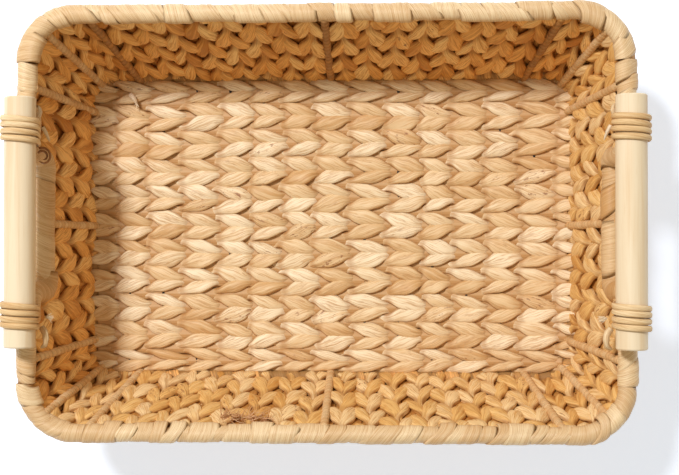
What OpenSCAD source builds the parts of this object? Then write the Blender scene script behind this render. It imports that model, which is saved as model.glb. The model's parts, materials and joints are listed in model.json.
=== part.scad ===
// Rectangular bread basket: a welded wire frame with a twined leaf weave,
// a leaf-wrapped rim with a hand hole in each end wall, and two lashed dowel handles.
// +X runs along the length, +Z is up, and the origin is the centre of the underside.

/* [Basket] */
// Length of the rim, between the centres of its wire
rim_length = 368; // [350:1:400]
// Width of the rim, between the centres of its wire
rim_width = 258; // [240:1:290]
// Corner radius of the rim wire
rim_corner = 30; // [26:1:40]
// Height of the rim wire's centre above the table
rim_height = 93.5; // [88:0.5:115]
// Length of the base ring, between the centres of its wire
base_length = 326; // [310:1:340]
// Width of the base ring, between the centres of its wire
base_width = 206; // [190:1:220]
// Corner radius of the base ring
base_corner = 18; // [16:1:24]

/* [Wire frame] */
// Diameter of the hoops, stakes and floor wires
wire_d = 3; // [2:0.5:3.5]
// Diameter of the rim wire and the base ring's wire
ring_wire_d = 3.6; // [3:0.2:4.4]
// Number of wires across the floor
floor_wire_count = 13; // [9:2:15]
// Distance between neighbouring floor wires
floor_wire_pitch = 22.9; // [18:0.1:23]

/* [Weave] */
// Thickness of the woven walls
wall_thickness = 9; // [7:0.5:10]
// Thickness of the woven floor
floor_thickness = 10; // [8:0.5:10]
// Number of twined rows across the floor
floor_row_count = 11; // [7:1:13]
// Width of the first and last rows, which are packed tight against the base ring
edge_row_width = 14; // [12:0.5:18]
// Diameter over the leaf wrapped round the rim wire
rim_wrap_d = 13; // [11:0.5:14]
// Diameter over the leaf wrapped round the base ring
base_wrap_d = 10; // [9:0.5:11]
// Diameter over the strip wrapped round each stake
stake_wrap_d = 6; // [5:0.5:6.5]

/* [Handles] */
// Distance between the two upright wires of a hand hole
hand_hole_width = 85; // [75:1:90]
// Depth of a hand hole, measured down the wall between wire centres
hand_hole_depth = 22.7; // [20:0.1:24]
// Bend radius of the rim wire at a hand hole
riser_bend = 7.5; // [7.5:0.5:9]
// Diameter of a handle dowel
handle_d = 19; // [16:0.5:22]
// Length of a handle dowel
handle_length = 152; // [140:1:165]
// Distance between the centres of a handle's two lashings
lashing_spacing = 116; // [114:1:120]
// Turns of cord in one lashing
lashing_turns = 4; // [2:1:4]
// Diameter of the lashing cord
cord_d = 4; // [3:0.5:4]

/* [Hidden] */
$fn = 48;

// Clearance left between pieces that lie against each other
clearance = 0.2;
// Bays of weave between the base ring and the rim, with one hoop between neighbours
bay_count = 4;
// Bays of weave under a hand hole
hand_hole_bays = 3;
// Distances from the start of a corner's bend to the stake beside it
long_setback_top = 9;
long_setback_base = 15;
end_setback_top = 15;
end_setback_base = 8;
// Flat steps in a corner panel's curve
corner_steps = 5;
// Bevel on the ends of a handle
handle_bevel = 0.8;
// Cut below the rim where a lashing passes through the weave
lashing_slot_depth = 6;
// Hoops lie this far outside the wall's middle surface and stakes this far inside it,
// so that they touch where they are welded
weld_offset = wire_d / 2 + clearance / 2;

base_z = base_wrap_d / 2;
rise = rim_height - base_z;
long_lean = atan2((rim_width - base_width) / 2, rise);
end_lean = atan2((rim_length - base_length) / 2, rise);
long_slope = rise / cos(long_lean);
end_slope = rise / cos(end_lean);

// Room kept beside a hoop, a stake, the rim and the base ring
hoop_gap = wire_d / 2 + 0.5;
stake_gap = stake_wrap_d / 2 + clearance + 0.1;
rim_gap = rim_wrap_d / 2 + clearance;
base_gap = base_wrap_d / 2 + clearance;

handle_z = rim_height + (rim_wrap_d + handle_d) / 2 + clearance;
riser_y = hand_hole_width / 2;
floor_width = base_width - 2 * base_gap;
floor_row_pitch = (floor_width - 2 * edge_row_width) / (floor_row_count - 2);
cord_pitch = cord_d + 0.15;
lashing_width = lashing_turns * cord_pitch;

SIDES = [-1, 1];
ROW_NAMES = [for (i = [1:floor_row_count]) str("floor_row_", i < 10 ? "0" : "", i)];
FRAME_NAMES = [
    "rim_wire", "base_wire", "hoop_lower", "hoop_middle", "hoop_upper_front",
    "hoop_upper_back", "floor_wires", "stakes_front", "stakes_back", "stakes_left",
    "stakes_right", "corner_stakes"
];
WRAP_NAMES = [
    "base_wrap", "stake_wraps_front", "stake_wraps_back", "stake_wraps_left",
    "stake_wraps_right", "corner_stake_wraps", "rim_wrap_front", "rim_wrap_back",
    "rim_wrap_left", "rim_wrap_right"
];
WALL_NAMES = [
    "wall_front_left", "wall_front_right", "wall_back_left", "wall_back_right",
    "wall_left_front", "wall_left_back", "wall_right_front", "wall_right_back",
    "corner_front_left_a", "corner_front_left_b", "corner_front_right_a",
    "corner_front_right_b", "corner_back_left_a", "corner_back_left_b",
    "corner_back_right_a", "corner_back_right_b"
];
HANDLE_NAMES = [
    "handle_left", "handle_right", "lashing_left_front", "lashing_left_back",
    "lashing_right_front", "lashing_right_back"
];

// ---- Geometry of the flared basket: t is 0 at the base ring and 1 at the rim ----

function mix(a, b, t) = a + (b - a) * t;
function half_x(t) = mix(base_length, rim_length, t) / 2;
function half_y(t) = mix(base_width, rim_width, t) / 2;
function corner_r(t) = mix(base_corner, rim_corner, t);
function level(t) = mix(base_z, rim_height, t);
function beside_corner_x(t) = half_x(t) - corner_r(t) - mix(long_setback_base, long_setback_top, t);
function beside_corner_y(t) = half_y(t) - corner_r(t) - mix(end_setback_base, end_setback_top, t);

// Points on the stakes: sx and sy choose the side, and 0 is the middle of a wall
function long_stake(sx, sy, t) = [sx * beside_corner_x(t), sy * (half_y(t) - weld_offset), level(t)];
function end_stake(sx, sy, t) = [sx * (half_x(t) - weld_offset), sy * beside_corner_y(t), level(t)];
function corner_reach(t) = corner_r(t) - (corner_r(t) - weld_offset) * cos(45);
function corner_stake(sx, sy, t) =
    [sx * (half_x(t) - corner_reach(t)), sy * (half_y(t) - corner_reach(t)), level(t)];

// The point at a distance d from p on the way to q
function along(p, q, d) = p + (q - p) * d / norm(q - p);

// ---- Tubes ----

module ring_2d(r_out, r_in) {
    difference() {
        circle(r_out);
        if (r_in > 0) circle(r_in);
    }
}

// A straight tube, or a rod when r_in is 0, from point p to point q
module tube(p, q, r_out, r_in = 0) {
    d = q - p;
    translate(p)
        rotate([0, acos(d[2] / norm(d)), atan2(d[1], d[0])])
            linear_extrude(norm(d)) ring_2d(r_out, r_in);
}

// A tube bent round the Z axis at radius bend, from angle start through angle sweep
module bend(bend, start, sweep, r_out, r_in = 0) {
    rotate([0, 0, start])
        rotate_extrude(angle = sweep) translate([bend, 0]) ring_2d(r_out, r_in);
}

// Half of a rounded rectangle of tube on the side sy, ending on each end wall at end_y
module half_loop(hx, hy, r, sy, end_y, r_out, r_in = 0) {
    mirror([0, sy < 0 ? 1 : 0, 0]) {
        tube([r - hx, hy, 0], [hx - r, hy, 0], r_out, r_in);
        for (sx = SIDES) mirror([sx < 0 ? 1 : 0, 0, 0]) {
            translate([hx - r, hy - r, 0]) bend(r, 0, 90, r_out, r_in);
            if (end_y < hy - r) tube([hx, end_y, 0], [hx, hy - r, 0], r_out, r_in);
        }
    }
}

module loop(hx, hy, r, r_out, r_in = 0) {
    for (sy = SIDES) half_loop(hx, hy, r, sy, 0, r_out, r_in);
}

// The rim's course over one end wall, with the dip of the hand hole in the wall's plane
module end_rim(sx, r_out, r_in = 0) {
    drop = hand_hole_depth;
    mirror([sx < 0 ? 1 : 0, 0, 0])
        translate([rim_length / 2, 0, rim_height])
            rotate([0, end_lean, 0]) {
                tube([0, riser_bend - riser_y, -drop], [0, riser_y - riser_bend, -drop], r_out, r_in);
                for (sy = SIDES) mirror([0, sy < 0 ? 1 : 0, 0]) {
                    translate([0, riser_y - riser_bend, riser_bend - drop])
                        rotate([90, 0, 90]) bend(riser_bend, -90, 90, r_out, r_in);
                    tube([0, riser_y, riser_bend - drop], [0, riser_y, -riser_bend], r_out, r_in);
                    translate([0, riser_y + riser_bend, -riser_bend])
                        rotate([90, 0, 90]) bend(riser_bend, 90, 90, r_out, r_in);
                    tube([0, riser_y + riser_bend, 0], [0, rim_width / 2 - rim_corner, 0], r_out, r_in);
                }
            }
}

// ---- Wire frame ----

module rim_wire() {
    color("dimgray") {
        for (sy = SIDES) translate([0, 0, rim_height])
            half_loop(rim_length / 2, rim_width / 2, rim_corner, sy, rim_width / 2, ring_wire_d / 2);
        for (sx = SIDES) end_rim(sx, ring_wire_d / 2);
    }
}

module base_wire() {
    color("dimgray")
        translate([0, 0, base_z])
            loop(base_length / 2, base_width / 2, base_corner, ring_wire_d / 2);
}

// A hoop lies on the outside of the stakes, at the top of bay number bay
module hoop(bay) {
    t = bay / bay_count;
    color("dimgray")
        translate([0, 0, level(t)])
            loop(
                half_x(t) + weld_offset, half_y(t) + weld_offset, corner_r(t) + weld_offset,
                wire_d / 2
            );
}

// The upper hoop is cut at the hand holes and ends against their upright wires
module upper_hoop(sy) {
    t = hand_hole_bays / bay_count;
    end_y = riser_y + rim_gap;
    color("dimgray")
        translate([0, 0, level(t)])
            half_loop(
                half_x(t) + weld_offset, half_y(t) + weld_offset, corner_r(t) + weld_offset,
                sy, end_y, wire_d / 2
            );
}

function floor_wire_x(i) = (i - (floor_wire_count - 1) / 2) * floor_wire_pitch;

module floor_wire_rods(extra = 0, trim = ring_wire_d / 2) {
    end_y = base_width / 2 - trim;
    for (i = [0:floor_wire_count - 1])
        tube([floor_wire_x(i), -end_y, base_z], [floor_wire_x(i), end_y, base_z], wire_d / 2 + extra);
}

module floor_wires() {
    color("dimgray") floor_wire_rods();
}

// One stake from the base ring to the rim wire, or to the lowered rim of a hand hole.
// Its ends butt on the outside of those wires, or with no trim they reach their centres
module stake_rod(foot, head, trim, bays = bay_count) {
    length = norm(head - foot) * bays / bay_count;
    tube(along(foot, head, trim), along(foot, head, length - trim), wire_d / 2);
}

module long_stake_rods(sy, trim = ring_wire_d / 2) {
    for (sx = [-1:1]) stake_rod(long_stake(sx, sy, 0), long_stake(sx, sy, 1), trim);
}

module end_stake_rods(sx, trim = ring_wire_d / 2) {
    for (sy = [-1:1])
        stake_rod(end_stake(sx, sy, 0), end_stake(sx, sy, 1), trim, sy == 0 ? hand_hole_bays : bay_count);
}

module corner_stake_rods(trim = ring_wire_d / 2) {
    for (sx = SIDES, sy = SIDES) stake_rod(corner_stake(sx, sy, 0), corner_stake(sx, sy, 1), trim);
}

module stakes_long(sy) {
    color("gray") long_stake_rods(sy);
}

module stakes_end(sx) {
    color("gray") end_stake_rods(sx);
}

module corner_stakes() {
    color("gray") corner_stake_rods();
}

// ---- Wrapped strips ----

// The strip round a stake is open where a hoop crosses it
module stake_wrap(foot, head, bays = bay_count) {
    pitch = norm(head - foot) / bay_count;
    for (i = [0:bays - 1]) {
        low = i * pitch + (i == 0 ? base_gap : hoop_gap);
        high = (i + 1) * pitch - (i == bays - 1 ? rim_gap : hoop_gap);
        tube(along(foot, head, low), along(foot, head, high), stake_wrap_d / 2, wire_d / 2);
    }
}

module stake_wraps_long(sy) {
    color("peru") for (sx = [-1:1]) stake_wrap(long_stake(sx, sy, 0), long_stake(sx, sy, 1));
}

module stake_wraps_end(sx) {
    color("peru") for (sy = [-1:1])
        stake_wrap(end_stake(sx, sy, 0), end_stake(sx, sy, 1), sy == 0 ? hand_hole_bays : bay_count);
}

module corner_stake_wraps() {
    color("peru") for (sx = SIDES, sy = SIDES)
        stake_wrap(corner_stake(sx, sy, 0), corner_stake(sx, sy, 1));
}

module base_wrap() {
    color("saddlebrown") difference() {
        translate([0, 0, base_z])
            loop(base_length / 2, base_width / 2, base_corner, base_wrap_d / 2, ring_wire_d / 2);
        floor_wire_rods(0, 0);
        corner_stake_rods(0);
        for (side = SIDES) {
            long_stake_rods(side, 0);
            end_stake_rods(side, 0);
        }
    }
}

module rim_wrap_long(sy) {
    color("wheat") difference() {
        translate([0, 0, rim_height])
            half_loop(
                rim_length / 2, rim_width / 2, rim_corner, sy, rim_width / 2,
                rim_wrap_d / 2, ring_wire_d / 2
            );
        long_stake_rods(sy, 0);
        corner_stake_rods(0);
    }
}

module rim_wrap_end(sx) {
    color("wheat") difference() {
        end_rim(sx, rim_wrap_d / 2, ring_wire_d / 2);
        end_stake_rods(sx, 0);
    }
}

// ---- Floor ----

module rounded_rectangle(hx, hy, r) {
    square([2 * hx, 2 * (hy - r)], center = true);
    square([2 * (hx - r), 2 * hy], center = true);
    for (sx = SIDES, sy = SIDES) translate([sx * (hx - r), sy * (hy - r)]) circle(r);
}

// The edge between row i - 1 and row i
function row_edge(i) =
    i == 0 ? -floor_width / 2
    : i == floor_row_count ? floor_width / 2
    : edge_row_width - floor_width / 2 + (i - 1) * floor_row_pitch;

// One twined row along X, threaded on the floor wires
module floor_row(i) {
    width = row_edge(i + 1) - row_edge(i) - clearance;
    color("burlywood") difference() {
        linear_extrude(floor_thickness) intersection() {
            rounded_rectangle(base_length / 2 - base_gap, base_width / 2 - base_gap, base_corner - base_gap);
            translate([0, (row_edge(i) + row_edge(i + 1)) / 2])
                square([base_length, width], center = true);
        }
        floor_wire_rods(clearance / 2);
    }
}

// ---- Walls ----

// Places a flat outline, X along the wall and Y up its slope, in a wall at +Y
module wall_slab(half_base, lean) {
    translate([0, half_base, base_z])
        rotate([90 - lean, 0, 0])
            linear_extrude(wall_thickness, center = true) children();
}

// One bay of half a long wall, from the middle stake to the stake beside the corner
module long_bay(i) {
    low = i * long_slope / bay_count + (i == 0 ? base_gap : hoop_gap);
    high = (i + 1) * long_slope / bay_count - (i == bay_count - 1 ? rim_gap : hoop_gap);
    polygon([
        [stake_gap, low],
        [beside_corner_x(low / long_slope) - stake_gap, low],
        [beside_corner_x(high / long_slope) - stake_gap, high],
        [stake_gap, high]
    ]);
}

module wall_long(sx, sy) {
    color("tan")
        mirror([sx < 0 ? 1 : 0, 0, 0])
            mirror([0, sy < 0 ? 1 : 0, 0])
                for (i = [0:bay_count - 1])
                    wall_slab(base_width / 2, long_lean) long_bay(i);
}

function end_edge(w) = beside_corner_y(w / end_slope) - stake_gap;

// One bay of half an end wall; the bay under the hand hole drops below its rim
module end_bay(i) {
    pitch = end_slope / bay_count;
    low = i * pitch + (i == 0 ? base_gap : hoop_gap);
    high = (i + 1) * pitch - hoop_gap;
    side = riser_y + rim_gap;
    under_rim = i == hand_hole_bays - 1 ? (i + 1) * pitch - rim_gap : high;
    polygon([
        [stake_gap, low],
        [end_edge(low), low],
        [end_edge(high), high],
        [side, high],
        [side, under_rim],
        [stake_gap, under_rim]
    ]);
}

// The bay beside a hand hole, cut away at the top where the lashing goes through
module end_top_bay() {
    low = hand_hole_bays * end_slope / bay_count + hoop_gap;
    high = end_slope - rim_gap;
    side = riser_y + rim_gap;
    slot = lashing_spacing / 2 + lashing_width / 2 + clearance;
    polygon([
        [side, low],
        [end_edge(low), low],
        [end_edge(high), high],
        [slot, high],
        [slot, high - lashing_slot_depth],
        [side, high - lashing_slot_depth]
    ]);
}

module wall_end(sx, sy) {
    color("tan")
        mirror([sx < 0 ? 1 : 0, 0, 0])
            mirror([0, sy < 0 ? 1 : 0, 0])
                rotate([0, 0, -90])
                    mirror([1, 0, 0]) {
                        for (i = [0:hand_hole_bays - 1])
                            wall_slab(base_length / 2, end_lean) end_bay(i);
                        wall_slab(base_length / 2, end_lean) end_top_bay();
                    }
}

// A corner panel's columns in the +X +Y corner, in anticlockwise order. Each column
// is [x, y, outward x, outward y]; panel a is on the end wall's side, b on the long wall's
function arc_column(a, t) = [
    half_x(t) - corner_r(t) * (1 - cos(a)),
    half_y(t) - corner_r(t) * (1 - sin(a)),
    cos(a),
    sin(a)
];
function half_bend(t) = 45 - asin(stake_gap / corner_r(t));
function column_a(k, t) = k == 0
    ? [half_x(t), beside_corner_y(t) + stake_gap, 1, 0]
    : arc_column(half_bend(t) * (k - 1) / (corner_steps - 1), t);
function column_b(k, t) = k == corner_steps
    ? [beside_corner_x(t) + stake_gap, half_y(t), 0, 1]
    : arc_column(90 - half_bend(t) * (1 - k / (corner_steps - 1)), t);
function column(is_a, k, t) = is_a ? column_a(k, t) : column_b(k, t);
function panel_point(c, t, n) = [c[0] + n * c[2], c[1] + n * c[3], level(t)];
function quad(a, b, c, d) = [[a, b, c], [a, c, d]];

module corner_bay(is_a, i) {
    pitch = long_slope / bay_count;
    low = (i * pitch + (i == 0 ? base_gap : hoop_gap)) / long_slope;
    high = ((i + 1) * pitch - (i == bay_count - 1 ? rim_gap : hoop_gap)) / long_slope;
    half = wall_thickness / 2 / cos(long_lean);
    points = [
        for (k = [0:corner_steps], t = [low, high], n = [-half, half])
            panel_point(column(is_a, k, t), t, n)
    ];
    last = 4 * corner_steps;
    faces = concat(
        [for (k = [0:corner_steps - 1], q = quad(4 * k + 3, 4 * k + 7, 4 * k + 5, 4 * k + 1)) q],
        [for (k = [0:corner_steps - 1], q = quad(4 * k + 6, 4 * k + 2, 4 * k, 4 * k + 4)) q],
        [for (k = [0:corner_steps - 1], q = quad(4 * k + 6, 4 * k + 7, 4 * k + 3, 4 * k + 2)) q],
        [for (k = [0:corner_steps - 1], q = quad(4 * k, 4 * k + 1, 4 * k + 5, 4 * k + 4)) q],
        quad(2, 3, 1, 0),
        quad(last, last + 1, last + 3, last + 2)
    );
    polyhedron(points, faces);
}

module corner_panel(sx, sy, is_a) {
    color("tan")
        mirror([sx < 0 ? 1 : 0, 0, 0])
            mirror([0, sy < 0 ? 1 : 0, 0])
                for (i = [0:bay_count - 1]) corner_bay(is_a, i);
}

// ---- Handles and lashings ----

module handle(sx) {
    r = handle_d / 2;
    b = handle_bevel;
    color("navajowhite")
        translate([sx * rim_length / 2, -handle_length / 2, handle_z])
            rotate([-90, 0, 0])
                rotate_extrude() polygon([
                    [0, 0], [r - b, 0], [r, b],
                    [r, handle_length - b], [r - b, handle_length], [0, handle_length]
                ]);
}

// One turn of cord round the dowel and the rim below it, drawn from the rim wire's centre
module cord_turn() {
    r = (handle_d + cord_d + clearance) / 2;
    top = handle_z - rim_height;
    low = r - (rim_wrap_d + cord_d + clearance) / 2;
    rotate([90, 0, 0]) {
        translate([0, top]) bend(r, 0, 180, cord_d / 2);
        translate([0, low]) bend(r, 180, 180, cord_d / 2);
        for (s = SIDES) tube([s * r, low, 0], [s * r, top, 0], cord_d / 2);
    }
}

module lashing(sx, sy) {
    color("goldenrod")
        for (i = [0:lashing_turns - 1])
            translate([
                sx * rim_length / 2,
                sy * lashing_spacing / 2 + (i - (lashing_turns - 1) / 2) * cord_pitch,
                rim_height
            ])
                cord_turn();
}

// ---- The basket ----

rim_wire();
base_wire();
hoop(1);  // hoop_lower
hoop(2);  // hoop_middle
upper_hoop(-1);  // hoop_upper_front
upper_hoop(1);  // hoop_upper_back
floor_wires();
stakes_long(-1);  // stakes_front
stakes_long(1);  // stakes_back
stakes_end(-1);  // stakes_left
stakes_end(1);  // stakes_right
corner_stakes();

base_wrap();
stake_wraps_long(-1);  // stake_wraps_front
stake_wraps_long(1);  // stake_wraps_back
stake_wraps_end(-1);  // stake_wraps_left
stake_wraps_end(1);  // stake_wraps_right
corner_stake_wraps();
rim_wrap_long(-1);  // rim_wrap_front
rim_wrap_long(1);  // rim_wrap_back
rim_wrap_end(-1);  // rim_wrap_left
rim_wrap_end(1);  // rim_wrap_right

for (i = [0:floor_row_count - 1])
    floor_row(i);

wall_long(-1, -1);  // wall_front_left
wall_long(1, -1);  // wall_front_right
wall_long(-1, 1);  // wall_back_left
wall_long(1, 1);  // wall_back_right
wall_end(-1, -1);  // wall_left_front
wall_end(-1, 1);  // wall_left_back
wall_end(1, -1);  // wall_right_front
wall_end(1, 1);  // wall_right_back
corner_panel(-1, -1, true);  // corner_front_left_a
corner_panel(-1, -1, false);  // corner_front_left_b
corner_panel(1, -1, true);  // corner_front_right_a
corner_panel(1, -1, false);  // corner_front_right_b
corner_panel(-1, 1, true);  // corner_back_left_a
corner_panel(-1, 1, false);  // corner_back_left_b
corner_panel(1, 1, true);  // corner_back_right_a
corner_panel(1, 1, false);  // corner_back_right_b

handle(-1);  // handle_left
handle(1);  // handle_right
lashing(-1, -1);  // lashing_left_front
lashing(-1, 1);  // lashing_left_back
lashing(1, -1);  // lashing_right_front
lashing(1, 1);  // lashing_right_back
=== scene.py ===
"""Twined bread basket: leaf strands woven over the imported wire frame, with its rim, handles and stage."""

import json

import bpy
import numpy as np
from bpy.props import FloatProperty, FloatVectorProperty, IntProperty, PointerProperty
from mathutils import Matrix, Vector


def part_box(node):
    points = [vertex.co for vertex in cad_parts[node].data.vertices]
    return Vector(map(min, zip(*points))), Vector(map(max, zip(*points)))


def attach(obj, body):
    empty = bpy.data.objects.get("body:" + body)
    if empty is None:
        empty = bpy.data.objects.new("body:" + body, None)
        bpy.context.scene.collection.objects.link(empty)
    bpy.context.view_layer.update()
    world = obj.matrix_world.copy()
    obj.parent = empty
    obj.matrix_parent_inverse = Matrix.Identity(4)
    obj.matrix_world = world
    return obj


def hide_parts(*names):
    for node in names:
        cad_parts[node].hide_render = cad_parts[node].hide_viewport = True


bl_info = {
    "name": "Twined Bread Basket",
    "version": (1, 0, 0),
    "blender": (4, 5, 0),
    "location": "3D View > Sidebar > Basket",
    "description": "Weaves a basket of twined leaf over a packed wire frame",
    "category": "Object",
}

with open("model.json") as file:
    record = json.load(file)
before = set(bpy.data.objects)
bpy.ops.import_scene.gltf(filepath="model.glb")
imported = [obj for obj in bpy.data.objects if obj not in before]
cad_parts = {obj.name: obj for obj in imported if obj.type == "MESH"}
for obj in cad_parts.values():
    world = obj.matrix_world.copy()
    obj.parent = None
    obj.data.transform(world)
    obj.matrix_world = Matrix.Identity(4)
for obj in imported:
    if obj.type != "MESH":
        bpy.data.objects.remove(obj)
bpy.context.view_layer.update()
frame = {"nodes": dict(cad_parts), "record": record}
BODY = "root"
X, Y, Z = 0, 1, 2
MM = 0.001
TAU = 2 * np.pi
SIDES = (-1, 1)


def box(node):
    """The lowest and highest corners of a CAD node, as arrays in metres."""
    low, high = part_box(node)
    return np.array(low), np.array(high)


# ---------------------------------------------------------------- settings


def length_property(name, description, millimetres):
    """A length setting."""
    return FloatProperty(name=name, description=description, default=millimetres * MM, unit="LENGTH")


def share_property(name, description, default, low, high):
    """A share setting, between low and high."""
    return FloatProperty(name=name, description=description, default=default, min=low, max=high)


class TwineSettings(bpy.types.PropertyGroup):
    """The make of one kind of twined row. Shares are of the row's width."""

    depth: length_property("Depth", "Thickness of a leaf strand", 4.3)
    height: length_property("Height", "Height of a strand's centre above the middle of its row", 2.1)
    sway: share_property("Sway", "Share that a strand swings sideways", 0.34, 0, 0.6)
    pinch: share_property("Pinch", "Share of its width that a strand loses in a dive", 0.42, 0, 0.9)
    crest: FloatProperty(
        name="Crest", description="How late a strand dives, in radians of twist", default=0.5
    )
    lag: FloatProperty(
        name="Lag", description="How far a strand's widest part follows its crest", default=0.9
    )
    fullness: share_property("Fullness", "Share that a strand covers on top", 1.17, 0.8, 1.6)
    unevenness: share_property("Unevenness", "How much the stitches' widths differ", 0.42, 0, 1)
    tip: FloatProperty(
        name="Tip", description="How many rings a strand takes to narrow to its end", default=8
    )
    crease: share_property("Crease", "Depth of the creases, as a share of a strand", 0.045, 0, 0.3)


# What the walls' twine has in place of the defaults, which are the floor's
WALL_TWINE = {
    "depth": 4.8 * MM, "height": 2.6 * MM, "sway": 0.48, "pinch": 0.46, "crest": -0.3,
    "fullness": 1.18, "unevenness": 0.35, "tip": 2.5, "crease": 0.09,
}


class WeaveSettings(bpy.types.PropertyGroup):
    """Sizes of the flared surface that the weave follows, and how many columns cover it."""

    rim_corner: length_property("Rim corner", "Corner radius of the rim wire", 30)
    base_corner: length_property("Base corner", "Corner radius of the base ring", 18)
    floor_climb: length_property("Floor climb", "Reach of the floor's rows past the base ring's wire", 3)
    long_columns: IntProperty(
        name="Long wall columns", description="Twined columns in half a long wall", default=16, min=4
    )
    end_columns: IntProperty(
        name="End wall columns", description="Twined columns in half an end wall", default=8, min=4
    )
    corner_columns: IntProperty(
        name="Corner columns", description="Twined columns in one corner panel", default=4, min=2
    )
    foot_spread: length_property(
        "Foot spread", "How far the end walls' strands stand out over the base ring", 1.6
    )
    # Painted shade on the shaded walls' leaf, and painted light on the lit walls' leaf
    shaded_bias: FloatProperty(
        name="Shaded leaf", description="How much darker the leaf of the shaded walls is", default=0.06
    )
    lit_bias: FloatProperty(
        name="Lit leaf", description="How much darker the leaf of the other walls is", default=-0.1
    )
    seed: IntProperty(name="Seed", description="Seed of the natural variation", default=11, min=0)


class RimSettings(bpy.types.PropertyGroup):
    """Sizes of the wide leaf wound round the rim, the stakes and the base ring."""

    band_width: length_property("Band width", "Mean width of a turn on the rim", 12)
    rim_radius: length_property("Rim radius", "Radius over the rim's turns at the ends", 5.9)
    long_radius: length_property("Long rim radius", "Radius over the rim's turns on the long walls", 5.1)
    stake_radius: length_property("Stake radius", "Radius over a wrapped stake", 2.7)
    base_radius: length_property("Base ring radius", "Radius over the wrapped base ring", 4.9)
    hole_top: length_property(
        "Hand hole top", "Distance from the wall's middle to where the rim starts down into a hand hole", 50
    )
    hole_bend: length_property("Hand hole bend", "Bend radius of the rim at a hand hole", 7.5)


class HandleSettings(bpy.types.PropertyGroup):
    """Sizes of the cord that lashes the dowels."""

    cord: length_property("Cord", "Diameter of the cord", 3.7)
    flatness: share_property("Flatness", "Height of the tight cord as a share of its width", 0.66, 0.3, 1)
    turns: IntProperty(name="Turns", description="Turns of cord in a lashing", default=4, min=1)
    plies: IntProperty(name="Plies", description="Twisted plies in the cord", default=3, min=2)


def colour_property(name, description, default):
    """A colour setting, in linear light."""
    return FloatVectorProperty(
        name=name, description=description, subtype="COLOR", size=3, min=0, max=1, default=default
    )


class ColourSettings(bpy.types.PropertyGroup):
    """Colours of the leaf, the wood, the cord, the wire and the floor."""

    leaf_light: colour_property("Light leaf", "The palest strands", (0.93, 0.78, 0.53))
    leaf_mid: colour_property("Leaf", "Most strands", (0.81, 0.595, 0.33))
    leaf_dark: colour_property("Dark leaf", "Strands from near the stem", (0.62, 0.36, 0.14))
    wall_light: colour_property("Light wall leaf", "The palest strands of the walls", (0.91, 0.67, 0.35))
    wall_mid: colour_property("Wall leaf", "Most strands of the walls", (0.84, 0.53, 0.19))
    wall_dark: colour_property("Dark wall leaf", "The darkest strands of the walls", (0.60, 0.27, 0.05))
    shaded_light: colour_property("Light shaded leaf", "The palest strands in shade", (1.0, 0.68, 0.28))
    shaded_mid: colour_property("Shaded leaf", "Most strands of the shaded walls", (0.94, 0.52, 0.15))
    shaded_dark: colour_property("Dark shaded leaf", "The darkest strands in shade", (0.54, 0.21, 0.03))
    # Painted shade: the colour that darkens strands where they dive under, at their edges, in seams and
    # grooves; it also draws the wrinkles
    leaf_edge: colour_property("Leaf tips", "Where a strand dives under", (0.40, 0.17, 0.04))
    blotch: colour_property("Blotches", "Mottled spots on some strands", (0.26, 0.08, 0.03))
    rim_light: colour_property("Light rim", "The palest turns on the rim", (0.88, 0.70, 0.43))
    rim_dark: colour_property("Dark rim", "The darkest turns on the rim", (0.60, 0.34, 0.13))
    stake_light: colour_property("Light stake leaf", "The palest strips on the stakes", (0.90, 0.69, 0.40))
    stake_mid: colour_property("Stake leaf", "Most strips on the stakes", (0.82, 0.54, 0.26))
    stake_dark: colour_property("Dark stake leaf", "The darkest strips on the stakes", (0.62, 0.34, 0.13))
    stake_shaded: colour_property("Shaded stake leaf", "The back stakes' strips", (0.36, 0.16, 0.05))
    base_leaf: colour_property("Base ring leaf", "The strip round the base ring", (0.36, 0.19, 0.06))
    wood_light: colour_property("Light wood", "Early wood of the dowels", (0.85, 0.725, 0.51))
    wood_dark: colour_property("Dark wood", "Late wood of the dowels", (0.72, 0.52, 0.29))
    cord: colour_property("Cord", "The twisted cord", (0.81, 0.59, 0.31))
    cord_light: colour_property("Light cord", "The palest parts of the cord", (0.93, 0.76, 0.48))
    pale_light: colour_property("Light pale end", "The palest loose ends", (0.92, 0.80, 0.60))
    pale_mid: colour_property("Pale end", "Most pale loose ends", (0.86, 0.68, 0.42))
    brown_light: colour_property("Light brown end", "The palest brown fibres", (0.74, 0.46, 0.24))
    brown_mid: colour_property("Brown end", "Most brown fibres", (0.48, 0.21, 0.07))
    curl_light: colour_property("Light curl", "The palest parts of the curled ends", (0.38, 0.16, 0.06))
    curl_mid: colour_property("Curl", "Most of the curled ends", (0.22, 0.07, 0.02))
    wire: colour_property("Wire", "The frame's wire", (0.035, 0.028, 0.024))
    floor: colour_property("Floor", "The floor that it stands on", (0.81, 0.89, 1.0))


# ---------------------------------------------------------------- shader building


class Value:
    """A shader socket that takes part in Python arithmetic; each operation adds a Math node."""

    def __init__(self, shader, socket):
        """Keeps the shader that the socket belongs to, so that sums can add nodes to it."""
        self.shader, self.socket = shader, socket

    def _math(self, operation, first, second):
        """The result of one Math node."""
        return self.shader.add("ShaderNodeMath", {"operation": operation}, {0: first, 1: second})

    def __add__(self, other):
        return self._math("ADD", self, other)

    def __radd__(self, other):
        return self._math("ADD", other, self)

    def __sub__(self, other):
        return self._math("SUBTRACT", self, other)

    def __rsub__(self, other):
        return self._math("SUBTRACT", other, self)

    def __mul__(self, other):
        return self._math("MULTIPLY", self, other)

    def __rmul__(self, other):
        return self._math("MULTIPLY", other, self)

    def __pow__(self, other):
        return self._math("POWER", self, other)

    def above(self, edge, soft):
        """0 below edge, 1 above edge + soft, with a smooth step between."""
        return self.shader.add(
            "ShaderNodeMapRange",
            {"interpolation_type": "SMOOTHSTEP"},
            {"Value": self, "From Min": edge, "From Max": edge + soft},
        )


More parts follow.
